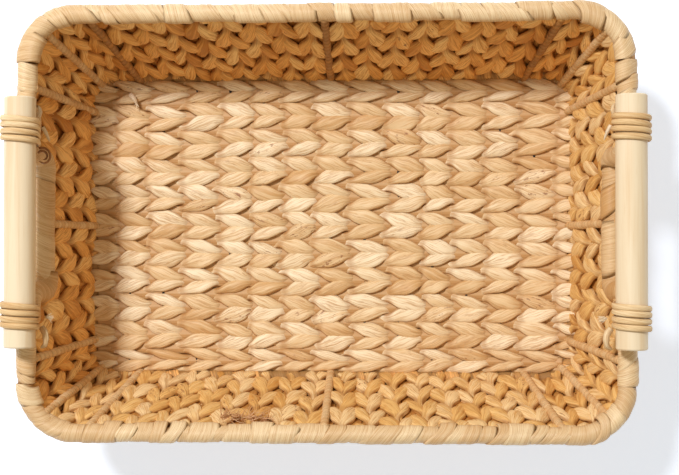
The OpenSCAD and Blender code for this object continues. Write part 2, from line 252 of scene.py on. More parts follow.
class Shader:
    """One material around a Principled BSDF; add() places any other node and returns its output."""

    def __init__(self, name):
        """A new material with its node tree and its surface."""
        self.material = bpy.data.materials.new(name)
        self.material.use_nodes = True
        self.tree = self.material.node_tree
        self.surface = self.tree.nodes["Principled BSDF"]

    def plug(self, socket, value):
        """Links a Value to a socket, or sets the socket to a constant."""
        if isinstance(value, Value):
            self.tree.links.new(value.socket, socket)
        elif hasattr(socket.default_value, "__len__") and len(socket.default_value) == len(value) + 1:
            socket.default_value = (*value, 1)
        else:
            socket.default_value = value

    def add(self, kind, settings=None, inputs=None, output=0):
        """A new node with these settings and inputs, as the Value of one of its outputs."""
        node = self.tree.nodes.new(kind)
        for name, value in (settings or {}).items():
            setattr(node, name, value)
        for key, value in (inputs or {}).items():
            self.plug(node.inputs[key], value)
        return Value(self, node.outputs[output])

    def mix(self, factor, first, second):
        """A colour between first and second."""
        return self.add("ShaderNodeMix", {"data_type": "RGBA"}, {0: factor, 6: first, 7: second}, 2)

    def attribute(self, name):
        """A mesh attribute, as a vector."""
        return self.add("ShaderNodeAttribute", {"attribute_name": name}, output="Vector")

    def split(self, vector):
        """The three components of a vector."""
        first = self.add("ShaderNodeSeparateXYZ", None, {0: vector})
        return [Value(self, socket) for socket in first.socket.node.outputs]

    def stretch(self, vector, scale):
        """A vector with each component multiplied by its own scale."""
        return self.add("ShaderNodeVectorMath", {"operation": "MULTIPLY"}, {0: vector, 1: scale})

    def noise(self, vector, detail=3.0, roughness=0.55, distortion=0.0):
        """Cloudy noise between 0 and 1, one unit of the vector across."""
        inputs = {"Scale": 1.0, "Detail": detail, "Roughness": roughness, "Distortion": distortion}
        return self.add("ShaderNodeTexNoise", None, {"Vector": vector, **inputs})

    def finish(self, colour, roughness, height=None, strength=0.5, distance=0.5 * MM, specular=0.4):
        """Connects the colour, the roughness and the bumps to the surface."""
        self.plug(self.surface.inputs["Base Color"], colour)
        self.plug(self.surface.inputs["Roughness"], roughness)
        self.surface.inputs["Specular IOR Level"].default_value = specular
        if height is not None:
            inputs = {"Strength": strength, "Distance": distance, "Height": height}
            bump = self.add("ShaderNodeBump", None, inputs)
            self.plug(self.surface.inputs["Normal"], bump)
        return self.material


# Stretches of the leaf's noise over the fibre attribute: across, across and along a strand
FIBRES = (8.0, 8.0, 75.0)
STREAKS = (2.6, 2.6, 30.0)
CLOUDS = (0.9, 0.9, 70.0)
SPOTS = (2.2, 2.2, 190.0)
# How strongly the leaf is coloured by its fibres, wrinkles and blotches, and by the painted shade where it
# dives and at its edges
FIBRE_STRENGTH, WRINKLE_STRENGTH, BLOTCH_STRENGTH, PAINTED_SHADE_STRENGTH = 0.55, 0.42, 0.75, 0.8
# The two levels of the streaks between which a wrinkle is drawn, and how soft its sides are
WRINKLE_LEVELS, WRINKLE_SOFT = (0.53, 0.57), 0.02


def leaf_material(name, light, mid, dark, edge, blotch, gloss=0.46):
    """Dried leaf. The fibre attribute runs (round, round, along) a strand, so noise that is fine
    across and long along it draws the fibres; tone holds each stitch's shade, how far it is on
    top, below which the edge colour is mixed in as painted shade, and how blotched it is."""
    shader = Shader(name)
    fibre = shader.attribute("fibre")
    tone, top, blotched = shader.split(shader.attribute("tone"))
    fine = shader.noise(shader.stretch(fibre, FIBRES), detail=2.0)
    streak = shader.noise(shader.stretch(fibre, STREAKS), detail=3.0)
    cloud = shader.noise(shader.stretch(fibre, CLOUDS), detail=2.0)
    shade = tone * 0.95 + (streak - 0.5) * 0.9 + (cloud - 0.5) * 0.5
    colour = shader.mix(shade.above(0.05, 0.55), light, mid)
    colour = shader.mix(shade.above(0.55, 0.6), colour, dark)
    colour = shader.mix(fine.above(0.5, 0.1) * FIBRE_STRENGTH, colour, dark)
    start, stop = (streak.above(level, WRINKLE_SOFT) for level in WRINKLE_LEVELS)
    colour = shader.mix(start * (1 - stop) * WRINKLE_STRENGTH, colour, edge)
    spots = shader.noise(shader.stretch(fibre, SPOTS), detail=4.0, roughness=0.7)
    blotches = spots.above(0.56, 0.08) * blotched.above(0.86, 0.1)
    colour = shader.mix(blotches * BLOTCH_STRENGTH, colour, blotch)
    # Painted shade: the edge colour where the tone says a strand is not on top
    colour = shader.mix((1 - top.above(0.0, 0.75)) * PAINTED_SHADE_STRENGTH, colour, edge)
    height = fine * 0.6 + streak * 0.8
    return shader.finish(colour, gloss + fine * 0.16, height, 0.55, 0.55 * MM)


# Stretches of the wood's noise along X, Y and Z, and the even one of the wire's wear
GRAIN = (900.0, 22.0, 900.0)
FIGURE = (160.0, 7.0, 160.0)
PORES = (2600.0, 60.0, 2600.0)
WEAR = (220.0, 220.0, 220.0)


def wood_material(name, light, dark):
    """Pale close-grained wood with its grain along Y and rings across the ends."""
    shader = Shader(name)
    place = shader.add("ShaderNodeTexCoord", output="Object")
    grain = shader.noise(shader.stretch(place, GRAIN), detail=3.0)
    figure = shader.noise(shader.stretch(place, FIGURE), detail=2.0, distortion=0.6)
    pores = shader.noise(shader.stretch(place, PORES), detail=1.0)
    shade = figure.above(0.42, 0.3) * 0.55 + grain.above(0.5, 0.3) * 0.3
    colour = shader.mix(shade, light, dark)
    colour = shader.mix(pores.above(0.62, 0.1) * 0.3, colour, dark)
    return shader.finish(colour, 0.42 + grain * 0.12, grain + pores * 0.5, 0.18, 0.2 * MM)


def wire_material(name, colour):
    """Dark drawn wire, dulled in patches."""
    shader = Shader(name)
    place = shader.add("ShaderNodeTexCoord", output="Object")
    worn = shader.noise(shader.stretch(place, WEAR), detail=4.0)
    shade = shader.mix(worn.above(0.5, 0.3) * 0.5, colour, tuple(3 * part for part in colour))
    shader.surface.inputs["Metallic"].default_value = 0.6
    return shader.finish(shade, 0.4 + worn * 0.25, worn, 0.2, 0.1 * MM)


def table_material(name, colour, under, glow_colour, strength):
    """An even, matt finish for a lit table, which glows a little, except under the basket. under
    holds one over the half sizes of the base, so the larger of X and Y is 1 at its edge."""
    shader = Shader(name)
    place = shader.add("ShaderNodeTexCoord", output="Object")
    across_x, across_y, _ = shader.split(shader.stretch(place, tuple(under)))
    size = {"operation": "ABSOLUTE"}
    across_x, across_y = (shader.add("ShaderNodeMath", size, {0: value}) for value in (across_x, across_y))
    outside = shader.add("ShaderNodeMath", {"operation": "MAXIMUM"}, {0: across_x, 1: across_y})
    glow = shader.mix(outside.above(1.0, 0.15), (0, 0, 0), glow_colour)
    shader.plug(shader.surface.inputs["Emission Color"], glow)
    shader.surface.inputs["Emission Strength"].default_value = strength
    return shader.finish(colour, 0.9, specular=0.1)


# ---------------------------------------------------------------- mesh building


def unit(vectors):
    """Vectors made one long."""
    return vectors / np.maximum(np.linalg.norm(vectors, axis=-1, keepdims=True), 1e-12)


def across(vectors, forward):
    """The part of vectors at right angles to forward, made one long."""
    return unit(vectors - np.sum(vectors * forward, axis=-1, keepdims=True) * forward)


def tube_faces(tubes, rings, sides):
    """Four-sided faces between neighbouring rings, and one face to close each end of each tube."""
    ring = np.arange(rings - 1)[:, None] * sides
    here, onward = np.arange(sides), (np.arange(sides) + 1) % sides
    quads = np.stack([ring + here, ring + onward, ring + sides + onward, ring + sides + here], axis=-1)
    starts = np.arange(tubes) * rings * sides
    quads = (starts[:, None, None, None] + quads).reshape(-1, 4)
    caps = np.stack([here[::-1], (rings - 1) * sides + here])
    caps = (starts[:, None, None] + caps).reshape(-1, sides)
    return quads, caps


def loop_faces(tubes, rings, sides):
    """Four-sided faces over tubes whose last ring joins their first."""
    ring, after = np.arange(rings)[:, None] * sides, (np.arange(rings)[:, None] + 1) % rings * sides
    here, onward = np.arange(sides), (np.arange(sides) + 1) % sides
    quads = np.stack([ring + here, ring + onward, after + onward, after + here], axis=-1)
    starts = np.arange(tubes) * rings * sides
    return (starts[:, None, None, None] + quads).reshape(-1, 4)


# How far above the table the lowest leaf lies
TABLE_CLEARANCE = 0.1 * MM


class Part:
    """Points, faces and attributes gathered for one mesh. Leaf is pressed flat where it would
    otherwise reach below the table."""

    def __init__(self):
        self.points, self.faces, self.fibre, self.tone, self.count = [], [], [], [], 0

    def add(self, points, fibre, tone, closed=False):
        """Adds tubes from grids of points: tube, ring, side, xyz."""
        tubes, rings, sides, _ = points.shape
        faces = [loop_faces(tubes, rings, sides)] if closed else tube_faces(tubes, rings, sides)
        self.faces += [block + self.count for block in faces]
        self.points.append(points.reshape(-1, 3))
        self.fibre.append(np.broadcast_to(fibre, points.shape).reshape(-1, 3))
        self.tone.append(np.broadcast_to(tone, points.shape).reshape(-1, 3))
        self.count += tubes * rings * sides

    def make(self, name, material, nodes=()):
        """Puts the mesh into the scene as a piece that rides on the basket."""
        mesh = bpy.data.meshes.new(name)
        points = np.concatenate(self.points)
        points[:, Z] = np.maximum(points[:, Z], TABLE_CLEARANCE)
        corners = np.concatenate([block.ravel() for block in self.faces])
        sizes = np.concatenate([np.full(len(block), block.shape[1]) for block in self.faces])
        mesh.vertices.add(len(points))
        mesh.vertices.foreach_set("co", points.ravel().astype(np.float32))
        mesh.loops.add(len(corners))
        mesh.loops.foreach_set("vertex_index", corners.astype(np.int32))
        mesh.polygons.add(len(sizes))
        mesh.polygons.foreach_set("loop_start", (np.cumsum(sizes) - sizes).astype(np.int32))
        mesh.polygons.foreach_set("use_smooth", np.ones(len(sizes), bool))
        mesh.update(calc_edges=True)
        for label, blocks in (("fibre", self.fibre), ("tone", self.tone)):
            layer = mesh.attributes.new(label, "FLOAT_VECTOR", "POINT")
            layer.data.foreach_set("vector", np.concatenate(blocks).ravel().astype(np.float32))
        mesh.validate()
        mesh.materials.append(material)
        piece = bpy.data.objects.new(name, mesh)
        bpy.context.scene.collection.objects.link(piece)
        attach(piece, BODY)
        if nodes:
            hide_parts(*nodes)
        return piece


def stack_grids(shape, *values):
    """Three values, each spread over a grid of this shape, as one grid of vectors."""
    return np.stack([np.broadcast_to(value, shape) for value in values], axis=-1)


def section(sides):
    """Angles round a cross-section."""
    return np.arange(sides) * TAU / sides


def smooth(step):
    """0 to 1 with level ends: three squares less two cubes."""
    return step * step * (3 - 2 * step)


WANDER_WAVES = 4
WANDER_PEAK = 1.6


def wander(place, seed, longest=0.3):
    """A smooth, seeded wobble between about -1 and 1: a sum of sines of shorter and shorter waves."""
    rng = np.random.default_rng(seed)
    total = np.zeros(np.shape(place))
    for k in range(1, WANDER_WAVES + 1):
        total = total + np.sin(TAU * place * k / longest + rng.uniform(0, TAU)) / k
    return total / WANDER_PEAK


# ---------------------------------------------------------------- the basket's shape


# The stakes of a quarter of the basket, in order from the end wall to the long wall
END_MIDDLE, END_SIDE, CORNER, LONG_SIDE, LONG_MIDDLE = range(5)


class BasketShape:
    """The basket's middle surface. t is 0 at the base ring and 1 at the rim. q is the distance
    along a quarter of the outline, from the middle of an end wall, round the corner, to the middle
    of a long wall. The quarter is in +X +Y, and signs mirror it into the others."""

    # From the ends of a corner's arc to the stakes beside it, at the base ring and at the rim
    LONG_SETBACK = (15 * MM, 9 * MM)
    END_SETBACK = (8 * MM, 15 * MM)
    # Half turns of twist in a column from the base ring to the rim
    BAYS = 3.7

    def __init__(self, weave, rim):
        """Reads the half sizes of the base ring and the rim, and the hand holes' depth, from the frame."""
        low, high = box("base_wire")
        wire = (high[Z] - low[Z]) / 2
        self.base = np.array([high[X] - wire, high[Y] - wire, high[Z] - wire])
        rim_high = box("rim_wire")[1]
        self.rim = np.array([rim_high[X] - wire, rim_high[Y] - wire, rim_high[Z] - wire])
        self.corners = (weave.base_corner, weave.rim_corner)
        self.hole_top, self.hole_bend = rim.hole_top, rim.hole_bend
        self.slope = np.hypot(self.rim[X] - self.base[X], self.rim[Z] - self.base[Z])
        dip_low = box("rim_wrap_right")[0][Z] + (box("rim_wrap_back")[1][Z] - self.rim[Z])
        self.hole_depth = (self.rim[Z] - dip_low) * self.slope / (self.rim[Z] - self.base[Z])

    def half(self, axis, t):
        """Half the middle surface's size along an axis, or its height for Z, at t."""
        return self.base[axis] + (self.rim[axis] - self.base[axis]) * t

    def corner(self, t):
        """Radius of the corners at t."""
        return self.corners[0] + (self.corners[1] - self.corners[0]) * t

    def stake(self, k, t):
        """Distance q of stake k at t, with the stakes in the order END_MIDDLE to LONG_MIDDLE."""
        run, r = self.half(Y, t) - self.corner(t), self.corner(t)
        end_setback = self.END_SETBACK[0] + (self.END_SETBACK[1] - self.END_SETBACK[0]) * t
        long_setback = self.LONG_SETBACK[0] + (self.LONG_SETBACK[1] - self.LONG_SETBACK[0]) * t
        bend = r * np.pi / 2
        return [0 * run, run - end_setback, run + bend / 2, run + bend + long_setback,
                run + bend + self.half(X, t) - r][k]

    def point(self, q, t, signs=(1, 1)):
        """The point at q and t, and the level outward direction: a straight run along the end
        wall, a quarter arc, then a straight run back along the long wall."""
        q, t = np.broadcast_arrays(q, t)
        r, run = self.corner(t), self.half(Y, t) - self.corner(t)
        angle = np.clip((q - run) / r, 0, np.pi / 2)
        back = np.maximum(q - run - r * np.pi / 2, 0)
        x = self.half(X, t) - r + r * np.cos(angle) - back
        y = np.minimum(q, run) + r * np.sin(angle)
        mirror = np.array([*signs, 1])
        place = np.stack([x, y, self.half(Z, t)], axis=-1) * mirror
        outward = np.stack([np.cos(angle), np.sin(angle), 0 * t], axis=-1) * mirror
        return place, outward

    def rim_drop(self, y):
        """How far down the end wall the rim lies at distance y from its middle."""
        low = self.hole_top - 2 * self.hole_bend
        step = np.clip((self.hole_top - np.abs(y)) / (self.hole_top - low), 0, 1)
        return self.hole_depth * smooth(step)

    def rim_end(self, sx, steps=24):
        """The rim over an end wall, from -Y to +Y: level, a bend down, a riser, a bend, and level."""
        bend, top, deep = self.hole_bend, self.hole_top, self.hole_depth
        arc = np.linspace(0, np.pi / 2, steps)
        y = [np.linspace(0, top - 2 * bend, steps), top - 2 * bend + bend * np.sin(arc),
             top - bend + bend * (1 - np.cos(arc))]
        down = [np.full(steps, deep), deep - bend * (1 - np.cos(arc)), bend * (1 - np.sin(arc))]
        side = self.rim[Y] - self.corners[1]
        y = np.concatenate([*y, np.linspace(top, side, steps)])
        down = np.concatenate([*down, np.zeros(steps)])
        y, down = np.concatenate([-y[::-1], y]), np.concatenate([down[::-1], down])
        lean = (self.rim[X] - self.base[X]) / self.slope
        x = self.rim[X] - down * lean
        z = self.rim[Z] - down * np.sqrt(1 - lean * lean)
        outward = np.array([sx * np.sqrt(1 - lean * lean), 0, -lean])
        path = np.stack([sx * x, y, z], axis=-1)
        return path, np.broadcast_to(outward, path.shape)

    def rim_long(self, sy, steps=80):
        """The rim over a long wall and both its corners, from +X to -X."""
        t = np.ones(steps)
        q = np.linspace(self.rim[Y] - self.corners[1], self.stake(LONG_MIDDLE, 1.0), steps)
        right = self.point(q, t, (1, sy))
        left = self.point(q[::-1], t, (-1, sy))
        return [np.concatenate(pair) for pair in zip(right, left)]


def along_path(path, outward, spacing):
    """Resamples a path at even steps: points, forward and outward directions, and distances."""
    gap = np.linalg.norm(np.diff(path, axis=0), axis=-1)
    keep = np.concatenate([[True], gap > 1e-7])
    path, outward = path[keep], outward[keep]
    far = np.concatenate([[0], np.cumsum(np.linalg.norm(np.diff(path, axis=0), axis=-1))])
    steps = max(int(far[-1] / spacing), 4)
    even = np.linspace(0, far[-1], steps + 1)
    points = np.stack([np.interp(even, far, path[:, k]) for k in range(3)], axis=-1)
    forward = unit(np.gradient(points, axis=0))
    outs = np.stack([np.interp(even, far, outward[:, k]) for k in range(3)], axis=-1)
    return points, forward, across(outs, forward), even


# ---------------------------------------------------------------- twined strands

STRAND_SIDES = 16
RINGS_PER_STITCH = 14
# The random draws of each stitch, and what each one sets; one more is drawn and left over
SWING, WIDTH, DEPTH, CREASE, RIB, SHADE, BLOTCH, HEIGHT, ROLL = range(9)
STITCH_DRAWS = 10
# Sharpness of a strand's rise and dive, and of its pinch where the pair crosses
LIFT_SHARPNESS, PINCH_POWER = 1.8, 3.2
# Painted shade: how dark the leaf turns where it dives under and at its edges, and how narrow those places
# are
DIVE_SHADE, EDGE_SHADE, SHADE_POWER = 0.65, 0.7, 8
# Share of its size that a strand's very end keeps, squared
END_SHARE = 0.12


def twine(path, outward, phase, hand, width, style, rng, bias=0.0):
    """Pairs of strands twined round a middle path. path is column, ring, xyz. Every half turn of
    the phase one strand of a pair lies on top. A strand swings from side to side by a power of the
    cosine of its phase, rises and dives by a flattened sine that lags by the style's crest, and its
    lens-shaped section is wide on top and pinched where the pair crosses. hand is the sense of the
    twist; bias darkens the leaf as painted shade, and lightens it as painted light when below 0.
    Returns the grids of points, fibre and tone for Part.add."""
    columns, rings = phase.shape
    forward = unit(np.gradient(path, axis=1))
    out = across(outward, forward)
    side = np.cross(forward, out) * hand[:, None, None]
    turn = phase[:, None, :] + np.array([0, np.pi])[None, :, None]
    stitch = (turn + np.pi / 2) / TAU
    stitch -= np.floor(stitch.min())
    number = np.floor(stitch).astype(int)
    draws = rng.random((columns, 2, number.max() + 2, STITCH_DRAWS))
    blend = np.clip(5 * (stitch - number) - 4, 0, 1)[..., None]
    first = np.take_along_axis(draws, number[..., None], axis=2)
    second = np.take_along_axis(draws, number[..., None] + 1, axis=2)
    pick = first + (second - first) * smooth(blend)
    strand_start, strand_shade = np.moveaxis(rng.random((columns, 2, 1, 2)), -1, 0)
    sway, over = np.cos(turn), np.abs(np.sin(turn))
    uneven = 1 + style.unevenness * (pick[..., WIDTH] - 0.5)
    lift = np.tanh(LIFT_SHARPNESS * np.sin(turn - 0.5 * style.crest)) / np.tanh(LIFT_SHARPNESS)
    swing = style.sway * sway * np.abs(sway) ** 0.5 + 0.1 * (pick[..., SWING] - 0.5)
    reach = width * swing
    height = style.height * lift * (0.9 + 0.3 * pick[..., HEIGHT])
    centre = path[:, None] + reach[..., None] * side[:, None] + height[..., None] * out[:, None]
    onward = unit(np.gradient(centre, axis=2))
    roll = -0.3 * sway + 0.5 * (pick[..., ROLL] - 0.5)
    flat = np.cos(roll)[..., None] * side[:, None] + np.sin(roll)[..., None] * out[:, None]
    flat = across(flat, onward)
    thick = np.cross(onward, flat)
    dive = np.abs(np.cos(turn - style.lag * style.crest))
    wide = width * style.fullness * uneven * (1 - style.pinch * dive**PINCH_POWER)
    deep = style.depth * (0.9 + 0.1 * over) * (0.9 + 0.2 * pick[..., DEPTH])
    ends = np.minimum(np.arange(rings), np.arange(rings)[::-1])
    taper = np.sqrt(np.clip(END_SHARE + ends / style.tip, 0, 1))
    wide, deep = wide * taper, deep * taper
    phi = section(STRAND_SIDES)
    creases = np.cos(3 * phi + TAU * pick[..., CREASE, None])
    creases = creases + 0.8 * np.cos(5 * phi + TAU * pick[..., RIB, None])
    crease = 1 + style.crease * creases
    points = (
        centre[..., None, :]
        + (wide[..., None] / 2 * np.cos(phi) * crease)[..., None] * flat[..., None, :]
        + (deep[..., None] / 2 * np.sin(phi) * crease)[..., None] * thick[..., None, :]
    )
    run = np.cumsum(np.linalg.norm(np.gradient(centre, axis=2), axis=-1), axis=2)
    run = run + 7 * strand_start
    grid = points.shape[:-1]
    fibre = stack_grids(grid, np.cos(phi), np.sin(phi), run[..., None])
    # Painted shade and light: bias darkens the shaded walls' leaf and lightens the lit walls' leaf
    shade = bias + 0.9 * pick[..., SHADE] + 0.25 * strand_shade - 0.07
    # Painted shade: brown where the strand dives under its partner and along its edges
    brown = DIVE_SHADE * (dive**SHADE_POWER)[..., None] + EDGE_SHADE * np.abs(np.cos(phi)) ** SHADE_POWER
    tone = stack_grids(grid, shade[..., None], 1 - np.clip(brown, 0, 1), pick[..., BLOTCH, None])
    shape = (columns * 2, rings, STRAND_SIDES, 3)
    return points.reshape(shape), fibre.reshape(shape), tone.reshape(shape)


class BasketOperator:
    """What every maker of the basket shares: its settings, its shape and its leaf."""

    bl_options = {"REGISTER", "UNDO"}

    def prepare(self, context):
        """Takes the settings from the scene and works out the basket's shape."""
        scene = context.scene
        self.weave, self.rim = scene.basket_weave, scene.basket_rim
        self.floor_style, self.wall_style = scene.basket_floor_twine, scene.basket_wall_twine
        self.handles, self.colours = scene.basket_handles, scene.basket_colours
        self.shape = BasketShape(self.weave, self.rim)

    def colour(self, name):
        """A colour setting, as plain numbers."""
        return tuple(getattr(self.colours, name))

    def leaf(self, name, light="leaf_light", mid="leaf_mid", dark="leaf_dark", **extra):
        """A leaf material from three colours, each the name of a setting or plain numbers."""
        paints = [self.colour(paint) if isinstance(paint, str) else paint for paint in (light, mid, dark)]
        return leaf_material(name, *paints, self.colour("leaf_edge"), self.colour("blotch"), **extra)


class BASKET_OT_floor(BasketOperator, bpy.types.Operator):
    """Twine the floor's rows over the floor wires"""

    bl_idname = "basket.floor"
    bl_label = "Floor"

    # Gaps between the floor's wires, with a wire's own width as a share of one gap
    WIRE_GAPS = 12 + 0.13
    # How far the outermost strands move out to the base ring, and where they count as outermost
    EDGE_SHIFT, EDGE_WIDTHS = 1.3 * MM, 1.6
    # How far a row strays sideways and up and down, and how its stitches drift along it
    STRAY, WAVE = 1.1 * MM, 0.3 * MM
    SHARED_DRIFT, OWN_DRIFT = 2.2 * MM, 2.4 * MM
    # How high a row's ends climb, and over what length
    END_RISE, END_RUN = 3.6 * MM, 14 * MM
    # Height of the backing above the row's middle, and the rings it leaves free at each end
    BACKING_RISE, BACKING_TRIM = 0.4 * MM, 4

    def execute(self, context):
        self.prepare(context)
        leaf = self.leaf("floor_leaf")
        names = sorted(name for name in frame["nodes"] if name.startswith("floor_row_"))
        wires = box("floor_wires")
        pitch = (wires[1][X] - wires[0][X]) / self.WIRE_GAPS
        for number, name in enumerate(names):
            self.row(number, name, pitch, leaf)
        return {"FINISHED"}

    def row(self, number, name, pitch, leaf):
        """One chevron row: two columns of opposite twist, side by side along X."""
        low, high = box(name)
        shape, rng = self.shape, np.random.default_rng([self.weave.seed, number])
        width = (high[Y] - low[Y]) / 2
        middle = low[Y] + width * np.array([0.5, 1.5])
        outermost = np.abs(middle) > shape.base[Y] - self.EDGE_WIDTHS * width
        middle = middle + self.EDGE_SHIFT * outermost * np.sign(middle)
        reach = shape.base[X] + self.weave.floor_climb
        bend = shape.corners[0]
        past = np.clip(np.abs(middle) - (shape.base[Y] - bend), 0, bend)
        ends = reach - bend + np.sqrt(bend * bend - past * past)
        rings = int(2 * reach / pitch * RINGS_PER_STITCH)
        x = np.linspace(-1, 1, rings)[None, :] * ends[:, None]
        room = np.clip(1 - (np.abs(middle) / shape.base[Y]) ** 4, 0, 1)[:, None]
        y = middle[:, None] + self.STRAY * room * wander(x + 0.9 * middle[:, None], 3, longest=0.19)
        z = np.full(x.shape, (low[Z] + high[Z]) / 2)
        z = z + self.WAVE * wander(x + 2 * middle[:, None], 5, longest=0.11)
        climb = np.clip(1 - (ends[:, None] - np.abs(x)) / self.END_RUN, 0, 1)
        z = z + self.END_RISE * smooth(climb)
        path = np.stack([x, y, z], axis=-1)
        outward = np.broadcast_to(np.array([0.0, 0.0, 1.0]), path.shape)
        drift = self.SHARED_DRIFT * wander(x, 8, longest=0.12)
        drift = drift + self.OWN_DRIFT * wander(x, 20 + number, longest=0.23)
        phase = np.pi / 2 + np.pi * (x + drift) / pitch
        part = Part()
        part.add(*twine(path, outward, phase, np.array([1, -1]), width, self.floor_style, rng))
        kept = slice(self.BACKING_TRIM, -self.BACKING_TRIM)
        under = path + np.array([0, width / 2, self.BACKING_RISE])
        part.add(*backing(under[:, kept], outward[:, kept], np.full(x[:, kept].shape, width)))
        part.make("woven_" + name, leaf, [name])


# The panels woven of darker, more saturated leaf as painted shade, and each quarter's panels: the
# stake before it, its name and the setting for its number of columns
SHADED_PANELS = (
    "wall_back_left", "wall_back_right", "wall_left_front", "wall_left_back", "corner_back_left_a",
    "corner_back_left_b", "corner_back_right_b", "corner_front_left_a"
)
WALL_PANELS = (
    (END_MIDDLE, "wall_{end}_{side}", "end_columns"),
    (END_SIDE, "corner_{side}_{end}_a", "corner_columns"),
    (CORNER, "corner_{side}_{end}_b", "corner_columns"),
    (LONG_SIDE, "wall_{side}_{end}", "long_columns"),
)


class BASKET_OT_walls(BasketOperator, bpy.types.Operator):
    """Twine the walls' columns over the hoops, between the stakes"""

    bl_idname = "basket.walls"
    bl_label = "Walls"

    # Where the columns start, as t, and how high up the foot's spread reaches
    FOOT, SPREAD_TOP = -0.02, 0.35
    # Share of a stake's radius that the columns leave free beside it
    STAKE_ROOM = 0.5
    # How far a braid's two columns close up, and how far a column strays, as shares of its width
    CLOSING, STRAY = 0.05, 0.1
    # The twist at the base ring, how far a braid's second column lags, and how much braids differ
    START_TWIST, PAIR_LAG, BRAID_SPREAD = 0.3 * np.pi, 0.12 * np.pi, 2.6
    # How much the twist drifts, in radians
    TWIST_DRIFT = 0.3

    def execute(self, context):
        self.prepare(context)
        leaf = self.leaf("wall_leaf", "wall_light", "wall_mid", "wall_dark")
        # Painted shade: the shaded panels get a darker, more saturated copy of the wall leaf
        deep = self.leaf("deep_wall_leaf", "shaded_light", "shaded_mid", "shaded_dark")
        for end, sx in (("left", -1), ("right", 1)):
            for side, sy in (("front", -1), ("back", 1)):
                for k, pattern, count in WALL_PANELS:
                    name = pattern.format(end=end, side=side)
                    paint = deep if name in SHADED_PANELS else leaf
                    self.panel(name, k, (sx, sy), getattr(self.weave, count), paint)
        return {"FINISHED"}

    def lanes(self, k, share):
        """Where columns run, at these shares of the way from stake k to stake k + 1: the heights t
        and the distances q, each column by ring, and the room between the stakes."""
        shape = self.shape
        gap = self.rim.stake_radius * self.STAKE_ROOM
        head_q = shape.stake(k, 1.0) + share * (shape.stake(k + 1, 1.0) - shape.stake(k, 1.0))
        drop = shape.rim_drop(head_q) if k == END_MIDDLE else 0 * head_q
        head = 1 - drop / shape.slope
        rings = int(shape.BAYS * RINGS_PER_STITCH * (1 - self.FOOT))
        t = self.FOOT + (head - self.FOOT)[:, None] * np.linspace(0, 1, rings)[None, :]
        first, second = shape.stake(k, t) + gap, shape.stake(k + 1, t) - gap
        return t, first + share[:, None] * (second - first), second - first

    def panel(self, name, k, signs, count, leaf):
        """The columns between stakes k and k + 1, which fan out with them, two to a braid."""
        shape = self.shape
        rng = np.random.default_rng([self.weave.seed, k, *(sign + 1 for sign in signs)])
        column = np.arange(count)
        t, q, room = self.lanes(k, (column + 0.5) / count)
        width = room / count
        inward = 1 - 2 * (column[:, None] % 2)
        stray = self.STRAY * width * wander(t * 0.09 + 0.37 * q, 31 + k, longest=0.1)
        q = q + self.CLOSING * width * inward + stray
        path, outward = shape.point(q, t, signs)
        low = np.clip(1 - t / self.SPREAD_TOP, 0, 1)
        spread = self.weave.foot_spread * low**2 * np.abs(outward[..., X])
        path = path + spread[..., None] * outward
        drift = wander(q, 40 + k, longest=0.13) + wander(t * 0.1 + 1.7 * q, 44 + k)
        phase = self.START_TWIST + np.pi * shape.BAYS * t + self.TWIST_DRIFT * drift
        braid = self.BRAID_SPREAD * rng.random((count, 1))[column // 2]
        phase = phase + self.PAIR_LAG * (column[:, None] % 2) + braid
        hand = np.where(column % 2 == 0, 1, -1) * signs[0] * signs[1]
        part = Part()
        # Painted shade on the shaded panels, painted light on the lit ones
        bias = self.weave.shaded_bias if name in SHADED_PANELS else self.weave.lit_bias
        part.add(*twine(path, -outward, phase, hand, width[:, None, :], self.wall_style, rng, bias))
        t, q, room = self.lanes(k, np.arange(count + 1) / count)
        part.add(*backing(*shape.point(q, t, signs), room / count))
        part.make("woven_" + name, leaf, [name])


BACKING_SIDES = 8
# Half width of a backing strip as a share of a column's, its half thickness, and its tone: dark, as painted
# shade in the seams
BACKING_WIDTH, BACKING_DEPTH = 0.52, 1.1 * MM
BACKING_SHADE_TONE = (1.0, 0.4, 0.0)


def backing(path, outward, width):
    """Flat strips of leaf in the middle of the wall, behind the seams between columns, coloured dark
    as painted shade in the seams: an ellipse carried along each path."""
    forward = unit(np.gradient(path, axis=1))
    out = across(outward, forward)
    side = np.cross(forward, out)
    thick = np.cross(forward, side)
    phi = section(BACKING_SIDES)
    grid = path[:, :, None] + (BACKING_WIDTH * width[..., None] * np.cos(phi))[..., None] * side[:, :, None]
    grid = grid + (BACKING_DEPTH * np.sin(phi))[:, None] * thick[:, :, None]
    fibre = stack_grids(grid.shape[:-1], np.cos(phi), np.sin(phi), path[..., Z:])
    return grid, fibre, np.broadcast_to(BACKING_SHADE_TONE, grid.shape)


# ---------------------------------------------------------------- wound strips


WOUND_SIDES = 16
# Radius under a turn of strip, its rise across the turn and its wobble, as shares of the whole
STRIP_CORE, STRIP_RISE, STRIP_WOBBLE = 0.8, 0.24, 0.05


